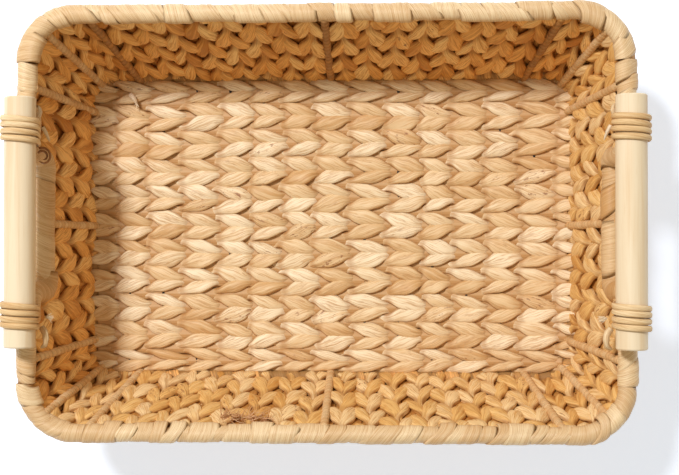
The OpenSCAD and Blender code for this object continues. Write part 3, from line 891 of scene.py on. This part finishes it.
def wound_strip(path, outward, radius, pitch, rng, spacing):
    """A strip wound round a wire. The radius rises across each turn of the strip and steps down
    at its edge, along a helix: core + rise * root of the fraction of (distance / pitch - angle)."""
    points, forward, out, far = along_path(path, outward, spacing)
    up = np.cross(forward, out)
    phi = section(WOUND_SIDES)
    turn = far[:, None] / pitch - phi / TAU
    climb = turn - np.floor(turn)
    wobble = STRIP_WOBBLE * wander(far[:, None] * 3 + phi * 0.01, int(rng.integers(1000)))
    swell = radius * (STRIP_CORE + STRIP_RISE * np.sqrt(climb) + wobble)
    grid = points[:, None] + swell[..., None] * (
        np.cos(phi)[:, None] * out[:, None] + np.sin(phi)[:, None] * up[:, None]
    )
    draws = rng.random(int(np.ceil(turn.max() - turn.min())) + 2)
    strip = draws[(np.floor(turn) - np.floor(turn.min())).astype(int)]
    fibre = stack_grids(climb.shape, 4.5 * climb, strip * 9, phi * radius + far[:, None] * 0.2)
    # Painted shade: each turn is darker where it starts, under the raised edge of the turn before
    tone = stack_grids(climb.shape, 0.25 + 0.6 * strip, 0.25 + 0.75 * np.sqrt(climb), 0)
    return grid[None], fibre[None], tone[None]


class BASKET_OT_stake_wraps(BasketOperator, bpy.types.Operator):
    """Wind a narrow strip round each stake"""

    bl_idname = "basket.stake_wraps"
    bl_label = "Stake wraps"

    # Each node's stakes, with the signs that mirror them from the +X +Y quarter
    GROUPS = (
        ("stake_wraps_front", ((LONG_MIDDLE, 1, -1), (LONG_SIDE, -1, -1), (LONG_SIDE, 1, -1))),
        ("stake_wraps_back", ((LONG_MIDDLE, 1, 1), (LONG_SIDE, -1, 1), (LONG_SIDE, 1, 1))),
        ("stake_wraps_left", ((END_MIDDLE, -1, 1), (END_SIDE, -1, -1), (END_SIDE, -1, 1))),
        ("stake_wraps_right", ((END_MIDDLE, 1, 1), (END_SIDE, 1, -1), (END_SIDE, 1, 1))),
        ("corner_stake_wraps", tuple((CORNER, sx, sy) for sx in SIDES for sy in SIDES)),
    )
    # How far inside the middle surface a stake stands, and the width of its strip's turns, each
    # the least and how much more it may be
    SETBACK, SETBACK_SPREAD = 3.5 * MM, 0.4 * MM
    PITCH, PITCH_SPREAD = 4.2 * MM, 1 * MM
    SPACING = 0.6 * MM

    def execute(self, context):
        self.prepare(context)
        tan = self.leaf("stake_leaf", "stake_light", "stake_mid", "stake_dark", gloss=0.5)
        dark = self.leaf("dark_stake_leaf", "wall_dark", "stake_shaded", gloss=0.5)
        for number, (name, stakes) in enumerate(self.GROUPS):
            # Painted shade: the back wall's stakes take a darker leaf, for the shade on that wall
            leaf = dark if name == "stake_wraps_back" else tan
            rng = np.random.default_rng([self.weave.seed, 70 + number])
            part = Part()
            for k, sx, sy in stakes:
                part.add(*self.stake(k, (sx, sy), rng))
            part.make("wound_" + name, leaf, [name])
        return {"FINISHED"}

    def stake(self, k, signs, rng):
        """The strip round one stake, from the base ring to the rim or to the hand hole's edge."""
        top = 1 - self.shape.hole_depth / self.shape.slope if k == END_MIDDLE else 1.0
        t = np.linspace(0.0, top, 30)
        path, outward = self.shape.point(self.shape.stake(k, t), t, signs)
        path = path - outward * (self.SETBACK + self.SETBACK_SPREAD * rng.random())
        pitch = self.PITCH + self.PITCH_SPREAD * rng.random()
        return wound_strip(path, outward, self.rim.stake_radius, pitch, rng, self.SPACING)


class BASKET_OT_base_wrap(BasketOperator, bpy.types.Operator):
    """Wind a dark strip round the base ring"""

    bl_idname = "basket.base_wrap"
    bl_label = "Base wrap"

    PITCH, SPACING = 9 * MM, 1.1 * MM
    QUARTER_POINTS = 60

    def execute(self, context):
        self.prepare(context)
        dark = self.colour("base_leaf")
        leaf = self.leaf("base_leaf", tuple(3 * part for part in dark), dark, dark, gloss=0.6)
        shape, t = self.shape, np.zeros(self.QUARTER_POINTS)
        q = np.linspace(0, shape.stake(LONG_MIDDLE, 0.0), self.QUARTER_POINTS)
        rounds = ((1, 1, 1), (-1, 1, -1), (-1, -1, 1), (1, -1, -1))
        runs = [shape.point(q[::order], t, (sx, sy)) for sx, sy, order in rounds]
        path, outward = (np.concatenate(blocks) for blocks in zip(*runs))
        rng = np.random.default_rng([self.weave.seed, 90])
        part = Part()
        strip = wound_strip(path, outward, self.rim.base_radius, self.PITCH, rng, self.SPACING)
        part.add(*(grid[:, :-1] for grid in strip), closed=True)
        part.make("wound_base_wrap", leaf, ["base_wrap"])
        return {"FINISHED"}


# Points across a turn of leaf, on top and underneath, and round the rim
BAND_ACROSS, BAND_UNDER, BAND_ROUND = 9, 4, 30
# The narrowest and widest turns as shares of the mean, and how much wider they are in a hand hole
BAND_SPREAD, SUNK_BAND = (0.55, 1.5), 1.7
# How far below the rim's top its turns count as being in a hand hole
SUNK = 3 * MM
# How much wider a turn is than its room, and how much that width varies round the rim
OVERLAP, OVERLAP_WAVE = 1.28, 0.14
# How far a turn leans along the rim, its half thickness, its ribs and its folds
LEAN, SKIN, RIBS, FOLD = 4 * MM, 0.75 * MM, 0.12 * MM, 2.8 * MM
# Where round the rim a fold lies, and the length of leaf that one unit of its fibre covers
FOLD_ANGLE, FIBRE_WIDTH = 3.6, 3.2 * MM
# Radius of the tube under the turns, as a share of the rim's
CORE_SHARE = 0.8
# Spacing of the rim path's points for the turns and for the tube under them
BAND_SPACING, CORE_SPACING = 0.8 * MM, 2 * MM


def rim_bands(path, outward, radius, band_width, rng):
    """Overlapping turns of wide leaf round the rim. Each turn is a closed ring with a lens-shaped
    section: it bulges by a root of one minus a power of the distance across it, and it leans
    along the rim by the cosine of the angle round it. radius gives the rim's radius at a place."""
    points, forward, out, far = along_path(path, outward, BAND_SPACING)
    top = points[:, Z].max()
    widths = []
    while sum(widths) < far[-1]:
        deep = top - np.interp(sum(widths), far, points[:, Z]) > SUNK
        widths.append(band_width * rng.uniform(*BAND_SPREAD) * (SUNK_BAND if deep else 1))
    widths = np.array(widths) * far[-1] / sum(widths)
    middle = np.cumsum(widths) - widths / 2
    draws = rng.random((len(widths), 8, 1, 1))
    wave, tilt, turned, bulk, oval, ribs, tint, grain = np.moveaxis(draws, 1, 0)
    phi = section(BAND_ROUND)[None, :, None]
    loop = np.linspace(-1, 1, BAND_ACROSS)
    v = np.concatenate([loop, np.linspace(0.7, -0.7, BAND_UNDER)])[None, None, :]
    skin = np.concatenate([np.sqrt(1 - loop**6 * 0.98), np.full(BAND_UNDER, -0.9)])[None, None, :]
    wide = widths[:, None, None] * (OVERLAP + OVERLAP_WAVE * np.cos(phi + TAU * wave))
    lean = LEAN * (tilt + 0.25) * np.cos(phi - TAU * turned * 0.1 + 0.5)
    s = np.clip(middle[:, None, None] + v * wide / 2 + lean, 0, far[-1])
    at = [np.interp(s, far, values[:, k]) for values in (points, forward, out) for k in range(3)]
    place, onward, outs = (np.stack(at[k:k + 3], axis=-1) for k in (0, 3, 6))
    outs = across(outs, unit(onward))
    up = np.cross(unit(onward), outs)
    swell = radius(place) * (0.8 + 0.17 * bulk + 0.04 * np.cos(2 * phi + TAU * oval))
    swell = swell + np.maximum(np.cos(phi - FOLD_ANGLE), 0) ** 2 * (FOLD * oval)
    rib = RIBS * np.cos(7 * v + TAU * ribs) * (skin > 0)
    reach = swell + SKIN * skin + rib
    grid = place + reach[..., None] * (np.cos(phi)[..., None] * outs + np.sin(phi)[..., None] * up)
    grid = grid[:, ::-1]
    along = phi[:, ::-1] * radius(place).mean() + 3 * tint
    fibre = stack_grids(reach.shape, v * wide / FIBRE_WIDTH, grain * 9, along)
    # Painted shade: turns down in a hand hole are darker and more golden, for the dowel's shade and the
    # warm light bounced there
    sunk = top - place[..., Z] > SUNK
    shade = 0.15 + 0.6 * tint + 0.35 * sunk
    # Painted shade: the edge colour at each turn's edges and underneath, where it meets the next turn
    tone = stack_grids(reach.shape, shade, np.clip(0.3 + 0.9 * skin, 0, 1), 0)
    return grid, fibre, tone


def rim_core(path, outward, radius):
    """The under layer of leaf that shows between the rim's turns, dark as painted shade in the seams: a
    plain tube along the rim.
    """
    points, forward, out, far = along_path(path, outward, CORE_SPACING)
    up = np.cross(forward, out)
    phi = section(BAND_ROUND)
    reach = CORE_SHARE * radius(points)[:, None, None]
    grid = points[:, None] + reach * (
        np.cos(phi)[:, None] * out[:, None] + np.sin(phi)[:, None] * up[:, None]
    )
    shape = grid.shape[:-1]
    fibre = stack_grids(shape, phi, far[:, None], far[:, None] * phi)
    # Painted shade: the tube is dark, to shade the gaps between turns
    return grid[None], fibre[None], stack_grids(shape, 0.9, 0.3, 0)[None]


class BASKET_OT_rim(BasketOperator, bpy.types.Operator):
    """Wrap the rim and the edges of the hand holes in wide leaf"""

    bl_idname = "basket.rim"
    bl_label = "Rim"

    # How far out of the rim wire the turns are centred
    SHIFT = 0.7 * MM
    # Where the rim slims from its end radius to its long one, measured along X from the end
    SLIM_FROM, SLIM_TO = 25 * MM, 50 * MM
    # How far down a hand hole the rim starts and stops getting fuller, and by how much
    FULL_FROM, FULL_TO, FULLER = 2 * MM, 12 * MM, 0.6 * MM

    def execute(self, context):
        self.prepare(context)
        light, dark = self.colour("rim_light"), self.colour("rim_dark")
        mid = tuple(0.6 * pale + 0.4 * deep for pale, deep in zip(light, dark))
        leaf = self.leaf("rim_leaf", light, mid, dark, gloss=0.36)
        paths = {
            "rim_wrap_front": self.shape.rim_long(-1),
            "rim_wrap_back": self.shape.rim_long(1),
            "rim_wrap_left": self.shape.rim_end(-1),
            "rim_wrap_right": self.shape.rim_end(1),
        }
        for number, (name, (path, outward)) in enumerate(paths.items()):
            rng = np.random.default_rng([self.weave.seed, 50 + number])
            path = path + outward * self.SHIFT
            part = Part()
            part.add(*rim_bands(path, outward, self.radius, self.rim.band_width, rng), closed=True)
            part.add(*rim_core(path, outward, self.radius))
            part.make("wound_" + name, leaf, [name])
        return {"FINISHED"}

    def radius(self, place):
        """The rim is slimmer over the long walls than round the corners and over the ends."""
        near = self.shape.rim[X] - np.abs(place[..., X])
        sunk = self.shape.rim[Z] - place[..., Z]
        radii = (self.rim.rim_radius, self.rim.long_radius)
        slim = np.interp(near, (self.SLIM_FROM, self.SLIM_TO), radii)
        return slim + np.interp(sunk, (self.FULL_FROM, self.FULL_TO), (0, self.FULLER))


# ---------------------------------------------------------------- handles


CORD_SIDES = 16
# Length of one full twist of the cord, and its rings' spacing
CORD_LAY, CORD_SPACING = 90 * MM, 0.8 * MM
# The cord's radius between its plies, their rise and the cord's roughness, as shares of the whole
PLY_CORE, PLY_RISE, CORD_FUZZ = 0.95, 0.07, 0.05
# The length over which a cord's end narrows, and the share of its radius that is left
CORD_END, CORD_END_SHARE = 1.5 * MM, 0.45


def twisted_cord(path, outward, radius, plies, rng, flat):
    """Cord of twisted plies: the section is an ellipse with one lobe a ply, which turns along it."""
    points, forward, out, far = along_path(path, outward, CORD_SPACING)
    up = np.cross(forward, out)
    phi = section(CORD_SIDES)
    twist = far[:, None] * TAU / CORD_LAY
    groove = np.abs(np.cos(plies * (phi - twist) / 2))
    fuzz = CORD_FUZZ * wander(far[:, None] * 5 + phi * 0.003, int(rng.integers(1000)))
    ends = np.clip(np.minimum(far, far[-1] - far) / CORD_END, CORD_END_SHARE, 1)[:, None]
    reach = radius * (PLY_CORE + PLY_RISE * groove + fuzz) * ends
    grid = points[:, None] + reach[..., None] * (
        flat * np.cos(phi)[:, None] * out[:, None] + np.sin(phi)[:, None] * up[:, None]
    )
    shade = 0.3 + 0.5 * rng.random() + 0.12 * wander(far * 4, int(rng.integers(1000)))
    shape = grid.shape[:-1]
    fibre = stack_grids(shape, np.cos(phi - twist), np.sin(phi - twist), far[:, None] + 5 * rng.random())
    # Painted shade in the grooves between the plies and on the side that faces the dowel and the rim
    outer = np.clip(0.3 + 1.2 * np.cos(phi), 0.3, 1)
    tone = stack_grids(shape, shade[:, None], (0.5 + 0.5 * groove) * outer, 0)
    return grid[None], fibre[None], tone[None]


BELT_POINTS = 48


def around_two(centres, radii):
    """The outline of a belt round two circles: the farther of the two circles' rims in each
    direction, joined by straight runs. Starts at the bottom and goes round anticlockwise."""
    angle = np.linspace(-np.pi / 2, 3 * np.pi / 2, BELT_POINTS, endpoint=False)
    facing = np.stack([np.cos(angle), np.sin(angle)], axis=-1)
    rims = [centre + radius * facing for centre, radius in zip(centres, radii)]
    reach = [np.sum(rim * facing, axis=-1) for rim in rims]
    return np.where((reach[0] > reach[1])[:, None], rims[0], rims[1]), facing


class BASKET_OT_handles(BasketOperator, bpy.types.Operator):
    """Finish the dowels and lash them to the rim"""

    bl_idname = "basket.handles"
    bl_label = "Handles"

    # How far inside its node a lashing's outer turns lie, how far it sits towards the dowel's
    # middle, and how unevenly its turns are laid
    INSET, INWARD, UNEVEN = 0.3 * MM, 1.5 * MM, 0.3 * MM

    def execute(self, context):
        self.prepare(context)
        wood = wood_material("dowel_wood", self.colour("wood_light"), self.colour("wood_dark"))
        for name in ("handle_left", "handle_right"):
            paint(name, wood)
        cord = self.leaf("lashing_cord", "cord_light", "cord", gloss=0.55)
        places = [(end, side, sy) for end in ("left", "right") for side, sy in (("front", -1), ("back", 1))]
        for number, (end, side, sy) in enumerate(places):
            self.lashing(f"lashing_{end}_{side}", f"handle_{end}", sy, cord, number)
        return {"FINISHED"}

    def lashing(self, name, dowel, sy, cord, number):
        """Turns of cord along the belt round the dowel and the rim, one cord's width apart."""
        rng = np.random.default_rng([self.weave.seed, 60 + number])
        radius = self.handles.cord / 2
        low, high = box(dowel)
        mid = (low + high) / 2
        centres = (np.array([0, mid[Z]]), np.array([0, self.shape.rim[Z]]))
        flat = self.handles.flatness
        radii = ((high[Z] - low[Z]) / 2 + flat * radius, self.rim.rim_radius + flat * radius)
        outline, facing = around_two(centres, radii)
        steps = len(outline) * self.handles.turns
        pick = np.arange(steps + 1) % len(outline)
        lash_low, lash_high = box(name)
        run = np.linspace(lash_low[Y] + self.INSET, lash_high[Y] - self.INSET, steps + 1)
        run = run - sy * self.INWARD + self.UNEVEN * wander(np.arange(steps + 1) * 0.004, number + 5)
        path = np.stack([mid[X] + outline[pick][:, 0], run, outline[pick][:, 1]], axis=-1)
        outward = np.stack([facing[pick][:, 0], 0 * run, facing[pick][:, 1]], axis=-1)
        part = Part()
        part.add(*twisted_cord(path, outward, radius, self.handles.plies, rng, flat))
        part.make("wound_" + name, cord, [name])


CURVE_POINTS = 26
LOOSE_SIDES = 12
UP = np.array([0.0, 0.0, 1.0])


def smooth_path(knots):
    """A smooth curve through a few points: a cubic through each four neighbours."""
    knots = np.array(knots)
    knots = np.concatenate([[2 * knots[0] - knots[1]], knots, [2 * knots[-1] - knots[-2]]])
    at = np.linspace(0, len(knots) - 3 - 1e-6, CURVE_POINTS)
    k, f = at.astype(int), (at % 1)[:, None]
    a, b, c, d = (knots[k + step] for step in range(4))
    square, cube = 2 * a - 5 * b + 4 * c - d, 3 * b - a - 3 * c + d
    return 0.5 * (2 * b + (c - a) * f + square * f**2 + cube * f**3)


def loose_leaf(knots, width, depth, rng, tip):
    """A loose end of leaf along a curve: a lens-shaped section that narrows to its tip by the
    root of one minus the distance squared, and curls up more at its edges along the way."""
    path = smooth_path(knots)
    forward = unit(np.gradient(path, axis=0))
    flat = across(np.cross(forward, UP) + 1e-6, forward)
    thick = np.cross(forward, flat)
    along = np.linspace(0, 1, len(path))[:, None]
    phi = section(LOOSE_SIDES)
    narrow = tip + (1 - tip) * np.sqrt(np.clip(1 - along**2, 0, 1))
    wide = width / 2 * narrow * (1 + 0.1 * wander(along, 7))
    curl = depth * 0.8 * np.cos(phi) ** 2 * (0.5 + along)
    grid = path[:, None] + (wide * np.cos(phi))[..., None] * flat[:, None]
    grid = grid + (depth / 2 * (1.1 - along * 0.6) * np.sin(phi) + curl)[..., None] * thick[:, None]
    run = along * np.linalg.norm(np.diff(path, axis=0), axis=-1).sum()
    shape = grid.shape[:-1]
    fibre = stack_grids(shape, np.cos(phi), np.sin(phi), run + 9 * rng.random())
    tone = stack_grids(shape, rng.random(), 1 - 0.5 * along**2, 0)
    return grid[None], fibre[None], tone[None]


TUFT_RINGS, TUFT_SIDES = 7, 5
THIN_FIBRE, THICK_FIBRE = 0.22 * MM, 0.3 * MM


def tuft(root, aim, length, spread, count, rng, radius=THIN_FIBRE):
    """Frayed fibres that fan out from a point: thin cones along parabolas."""
    start = root + spread * 0.25 * length * rng.normal(size=(count, 3))
    reach = length * rng.uniform(0.45, 1.0, (count, 1))
    tips = start + reach * unit(aim + spread * rng.normal(size=(count, 3)))
    sag = spread * 0.3 * reach * rng.normal(size=(count, 3))
    t = np.linspace(0, 1, TUFT_RINGS)[None, :, None]
    path = start[:, None] * (1 - t) + tips[:, None] * t + sag[:, None] * 4 * t * (1 - t)
    forward = unit(np.gradient(path, axis=1))
    flat = across(np.array([0.3, 0.5, 0.8]), forward)
    thick = np.cross(forward, flat)
    phi = section(TUFT_SIDES)
    size = radius * (1.1 - 0.8 * t)[..., None, :]
    ring = np.cos(phi)[:, None] * flat[..., None, :] + np.sin(phi)[:, None] * thick[..., None, :]
    grid = path[..., None, :] + size * ring
    shade = 0.5 * rng.random((count, 1, 1))
    return grid, 0 * grid, stack_grids(grid.shape[:-1], shade, 1, 0)


class BASKET_OT_loose_ends(BasketOperator, bpy.types.Operator):
    """Leave the loose leaf ends and the frayed ends of the cord"""

    bl_idname = "basket.loose_ends"
    bl_label = "Loose ends"

    # Routes of the loose ends, in millimetres from their roots. X is towards the end wall in those
    # beside a lashing, and to the right in the floor's
    LOOP = ((0, 0, 0), (-3, -4, 2.5), (-2.5, -10, 1), (1, -13, -3))
    UPPER_END = ((0, 0, 0), (-1.5, 3, 1), (-0.5, 7, 0))
    LOWER_END = ((0, 0, 0), (-2, -4, -1), (-3.5, -9, -4))
    FLOOR_END = ((0, 0, 0), (3, -3, 2.5), (5, -7, 2))
    # Height of the ends' roots above the rim's middle
    ABOVE_RIM = 5 * MM
    # Radius and first angle of each curl, the angle it turns through, its points and its rise
    CURLS = ((4.6 * MM, 1.9), (2.6 * MM, 2.6))
    CURL_TURN, CURL_POINTS, CURL_RISE = 4.2, 7, 0.3
    # The frayed stitch: from the front wall's middle to its far end, its length, its height as t,
    # its tufts, and how far it stands inside the middle surface
    FRAY_PLACE, FRAY_LENGTH, FRAY_HEIGHT = 68 * MM, 24 * MM, 0.9
    FRAY_TUFTS, FRAY_INWARD = 5, 5.2 * MM

    def execute(self, context):
        self.prepare(context)
        rng = np.random.default_rng([self.weave.seed, 80])
        pale = self.leaf("pale_ends", "pale_light", "pale_mid", gloss=0.5)
        brown = self.leaf("brown_ends", "brown_light", "brown_mid", gloss=0.5)
        self.cord_ends(pale, rng)
        self.curls(self.leaf("curl_ends", "curl_light", "curl_mid", gloss=0.5), rng)
        self.frayed_stitch(brown, rng)
        self.floor_end(pale, rng)
        return {"FINISHED"}

    def route(self, start, steps, sx=1):
        """A route from a start, given as steps in millimetres, mirrored along X by sx."""
        return start + np.array(steps) * (sx * MM, MM, MM)

    def cord_ends(self, material, rng):
        """The cut and folded ends beside each lashing, inside the basket."""
        height = self.shape.rim[Z] + self.ABOVE_RIM
        for end, sx in (("left", -1), ("right", 1)):
            low, high = box(f"lashing_{end}_front")
            inner = low[X] if sx > 0 else high[X]
            root = np.array([inner, (low[Y] + high[Y]) / 2, height])
            part = Part()
            part.add(*tuft(root, np.array([-sx * 0.9, -0.1, -0.1]), 4.8 * MM, 0.3, 60, rng))
            loop = self.route(self.route(root, (3, -6, 1), sx), self.LOOP, sx)
            part.add(*loose_leaf(loop, 4.2 * MM, 1.1 * MM, rng, tip=0.5))
            part.make(f"cord_end_{end}_front", material)
            low, high = box(f"lashing_{end}_back")
            inner = low[X] if sx > 0 else high[X]
            root = self.route(np.array([inner, high[Y], height]), (6, -1, 0), sx)
            part = Part()
            part.add(*loose_leaf(self.route(root, self.UPPER_END, sx), 3.4 * MM, 1.0 * MM, rng, tip=0.08))
            root = self.route(root, (-2, -6, -4), sx)
            part.add(*loose_leaf(self.route(root, self.LOWER_END, sx), 2.6 * MM, 0.8 * MM, rng, tip=0.08))
            part.make(f"cord_end_{end}_back", material)

    def curls(self, material, rng):
        """Two dark curled ends of cord beside the back left lashing: arcs that sink as they turn."""
        low, high = box("lashing_left_back")
        middle = self.route(np.array([high[X], low[Y], self.shape.rim[Z]]), (-4, -8, 1))
        part = Part()
        for radius, start in self.CURLS:
            turn = start - np.linspace(0, self.CURL_TURN, self.CURL_POINTS)
            knots = middle + radius * np.stack([np.cos(turn), np.sin(turn), self.CURL_RISE * turn], axis=-1)
            part.add(*loose_leaf(knots, 1.6 * MM, 1.4 * MM, rng, tip=0.3))
        part.make("curled_cord_left_back", material)

    def frayed_stitch(self, material, rng):
        """Brown fibres standing out of one stitch of the front wall."""
        run = np.linspace(0, self.FRAY_LENGTH, self.FRAY_TUFTS)
        q = self.shape.stake(LONG_MIDDLE, 1.0) - self.FRAY_PLACE + run
        place, outward = self.shape.point(q, np.full(self.FRAY_TUFTS, self.FRAY_HEIGHT), (-1, -1))
        part = Part()
        for root in place - outward * self.FRAY_INWARD:
            aim = np.array([0.7, 0.35 + 0.2 * rng.normal(), 0.35])
            part.add(*tuft(root, aim, 11 * MM, 0.42, 14, rng, THICK_FIBRE))
        part.make("frayed_stitch", material)

    def floor_end(self, material, rng):
        """A loose leaf end at the back left of the floor, with a few fibres at its tip."""
        floor = box("floor_row_11")[1]
        start = self.route(np.array([-self.shape.base[X], floor[Y], floor[Z]]), (26, -8, 1))
        route = self.route(start, self.FLOOR_END)
        part = Part()
        part.add(*loose_leaf(route, 3.6 * MM, 1.0 * MM, rng, tip=0.3))
        part.add(*tuft(route[-1], np.array([0.4, -0.8, 0.2]), 4 * MM, 0.3, 14, rng))
        part.make("loose_floor_end", material)


def paint(node, material):
    """Gives a CAD node's object a finer material."""
    piece = frame["nodes"][node]
    piece.data.materials.clear()
    piece.data.materials.append(material)


class BASKET_OT_wires(BasketOperator, bpy.types.Operator):
    """Finish the wires of the frame"""

    bl_idname = "basket.wires"
    bl_label = "Wires"

    def execute(self, context):
        self.prepare(context)
        wire = wire_material("frame_wire", self.colour("wire"))
        for row in frame["record"]["subparts"]:
            if row["material_slot"] == "frame_wire":
                paint(row["node"], wire)
        return {"FINISHED"}


# ---------------------------------------------------------------- stage


def add_light(name, place, target, size, power, colour):
    """A round lamp at a place, turned to face a target."""
    light = bpy.data.lights.new(name, "AREA")
    light.shape = "DISK"
    light.size, light.energy, light.color = size, power, colour
    lamp = bpy.data.objects.new(name, light)
    bpy.context.scene.collection.objects.link(lamp)
    lamp.location = place
    lamp.rotation_euler = (Vector(target) - Vector(place)).to_track_quat("-Z", "Y").to_euler()


class BASKET_OT_stage(BasketOperator, bpy.types.Operator):
    """Set the floor, the lights and the camera"""

    bl_idname = "basket.stage"
    bl_label = "Stage"

    CAMERA = (0.0424, -0.019, 0.8935)
    AIM = (0.0094, -0.009, 0.0935)
    LENS = 69.3
    CLIP = (0.01, 20)
    # The room's light, and one strong lamp high at the back left: size in metres, power in watts
    ROOM_COLOUR, ROOM_STRENGTH = (1.0, 0.85, 0.64), 0.45
    LAMP = {
        "place": (-0.74, 0.84, 1.9), "target": (0, 0, 0.03), "size": 0.36, "power": 39.5,
        "colour": (0.96, 0.96, 1.0),
    }
    # Half the table's size, and the light that comes up through it
    TABLE_REACH = 4.0
    GLOW_COLOUR, GLOW_STRENGTH = (1.08, 1.22, 1.46), 0.38

    def execute(self, context):
        self.prepare(context)
        self.floor()
        world = bpy.data.worlds.new("studio")
        world.use_nodes = True
        room = world.node_tree.nodes["Background"]
        room.inputs["Color"].default_value = (*self.ROOM_COLOUR, 1)
        room.inputs["Strength"].default_value = self.ROOM_STRENGTH
        context.scene.world = world
        context.scene.view_settings.view_transform = "Standard"
        add_light("key", **self.LAMP)
        self.camera(context)
        return {"FINISHED"}

    def floor(self):
        """The table: one level square at the height that the basket stands on."""
        reach = self.TABLE_REACH
        corners = [(-reach, -reach, 0), (reach, -reach, 0), (reach, reach, 0), (-reach, reach, 0)]
        mesh = bpy.data.meshes.new("floor")
        mesh.from_pydata(corners, [], [(0, 1, 2, 3)])
        under = (1 / self.shape.base[X], 1 / self.shape.base[Y], 0)
        finish = table_material("floor", self.colour("floor"), under, self.GLOW_COLOUR, self.GLOW_STRENGTH)
        mesh.materials.append(finish)
        floor = bpy.data.objects.new("floor", mesh)
        bpy.context.scene.collection.objects.link(floor)

    def camera(self, context):
        """A camera at CAMERA that looks at AIM, with its top edge level along X."""
        lens = bpy.data.cameras.new("camera")
        lens.lens = self.LENS
        lens.clip_start, lens.clip_end = self.CLIP
        camera = bpy.data.objects.new("camera", lens)
        context.scene.collection.objects.link(camera)
        back = unit(np.array(self.CAMERA) - np.array(self.AIM))
        right = across(np.array([1.0, 0.0, 0.0]), back)
        turn = Matrix(np.stack([right, np.cross(back, right), back], axis=-1).tolist())
        camera.matrix_world = Matrix.LocRotScale(Vector(self.CAMERA), turn.to_quaternion(), None)
        context.scene.camera = camera


# ---------------------------------------------------------------- panel and registration


class BASKET_PT_panel(bpy.types.Panel):
    """The basket's makers, in the 3D view's sidebar"""

    bl_label = "Basket"
    bl_space_type = "VIEW_3D"
    bl_region_type = "UI"
    bl_category = "Basket"

    def draw(self, context):
        """One button for each maker."""
        for maker in MAKERS:
            self.layout.operator(maker.bl_idname)


SETTINGS = {
    "basket_floor_twine": TwineSettings,
    "basket_wall_twine": TwineSettings,
    "basket_weave": WeaveSettings,
    "basket_rim": RimSettings,
    "basket_handles": HandleSettings,
    "basket_colours": ColourSettings,
}
MAKERS = (
    BASKET_OT_stage,
    BASKET_OT_wires,
    BASKET_OT_floor,
    BASKET_OT_walls,
    BASKET_OT_stake_wraps,
    BASKET_OT_base_wrap,
    BASKET_OT_rim,
    BASKET_OT_handles,
    BASKET_OT_loose_ends,
)


def register():
    """Adds the settings, the makers and the panel."""
    for group in dict.fromkeys(SETTINGS.values()):
        bpy.utils.register_class(group)
    for name, group in SETTINGS.items():
        setattr(bpy.types.Scene, name, PointerProperty(type=group))
    for maker in (*MAKERS, BASKET_PT_panel):
        bpy.utils.register_class(maker)


def unregister():
    """Takes them away again."""
    for maker in (BASKET_PT_panel, *reversed(MAKERS)):
        bpy.utils.unregister_class(maker)
    for name in SETTINGS:
        delattr(bpy.types.Scene, name)
    for group in dict.fromkeys(SETTINGS.values()):
        bpy.utils.unregister_class(group)


def main():
    """Makes the whole basket."""
    register()
    for name, value in WALL_TWINE.items():
        setattr(bpy.context.scene.basket_wall_twine, name, value)
    for maker in MAKERS:
        group, name = maker.bl_idname.split(".")
        getattr(getattr(bpy.ops, group), name)()


if __name__ == "__main__":
    main()
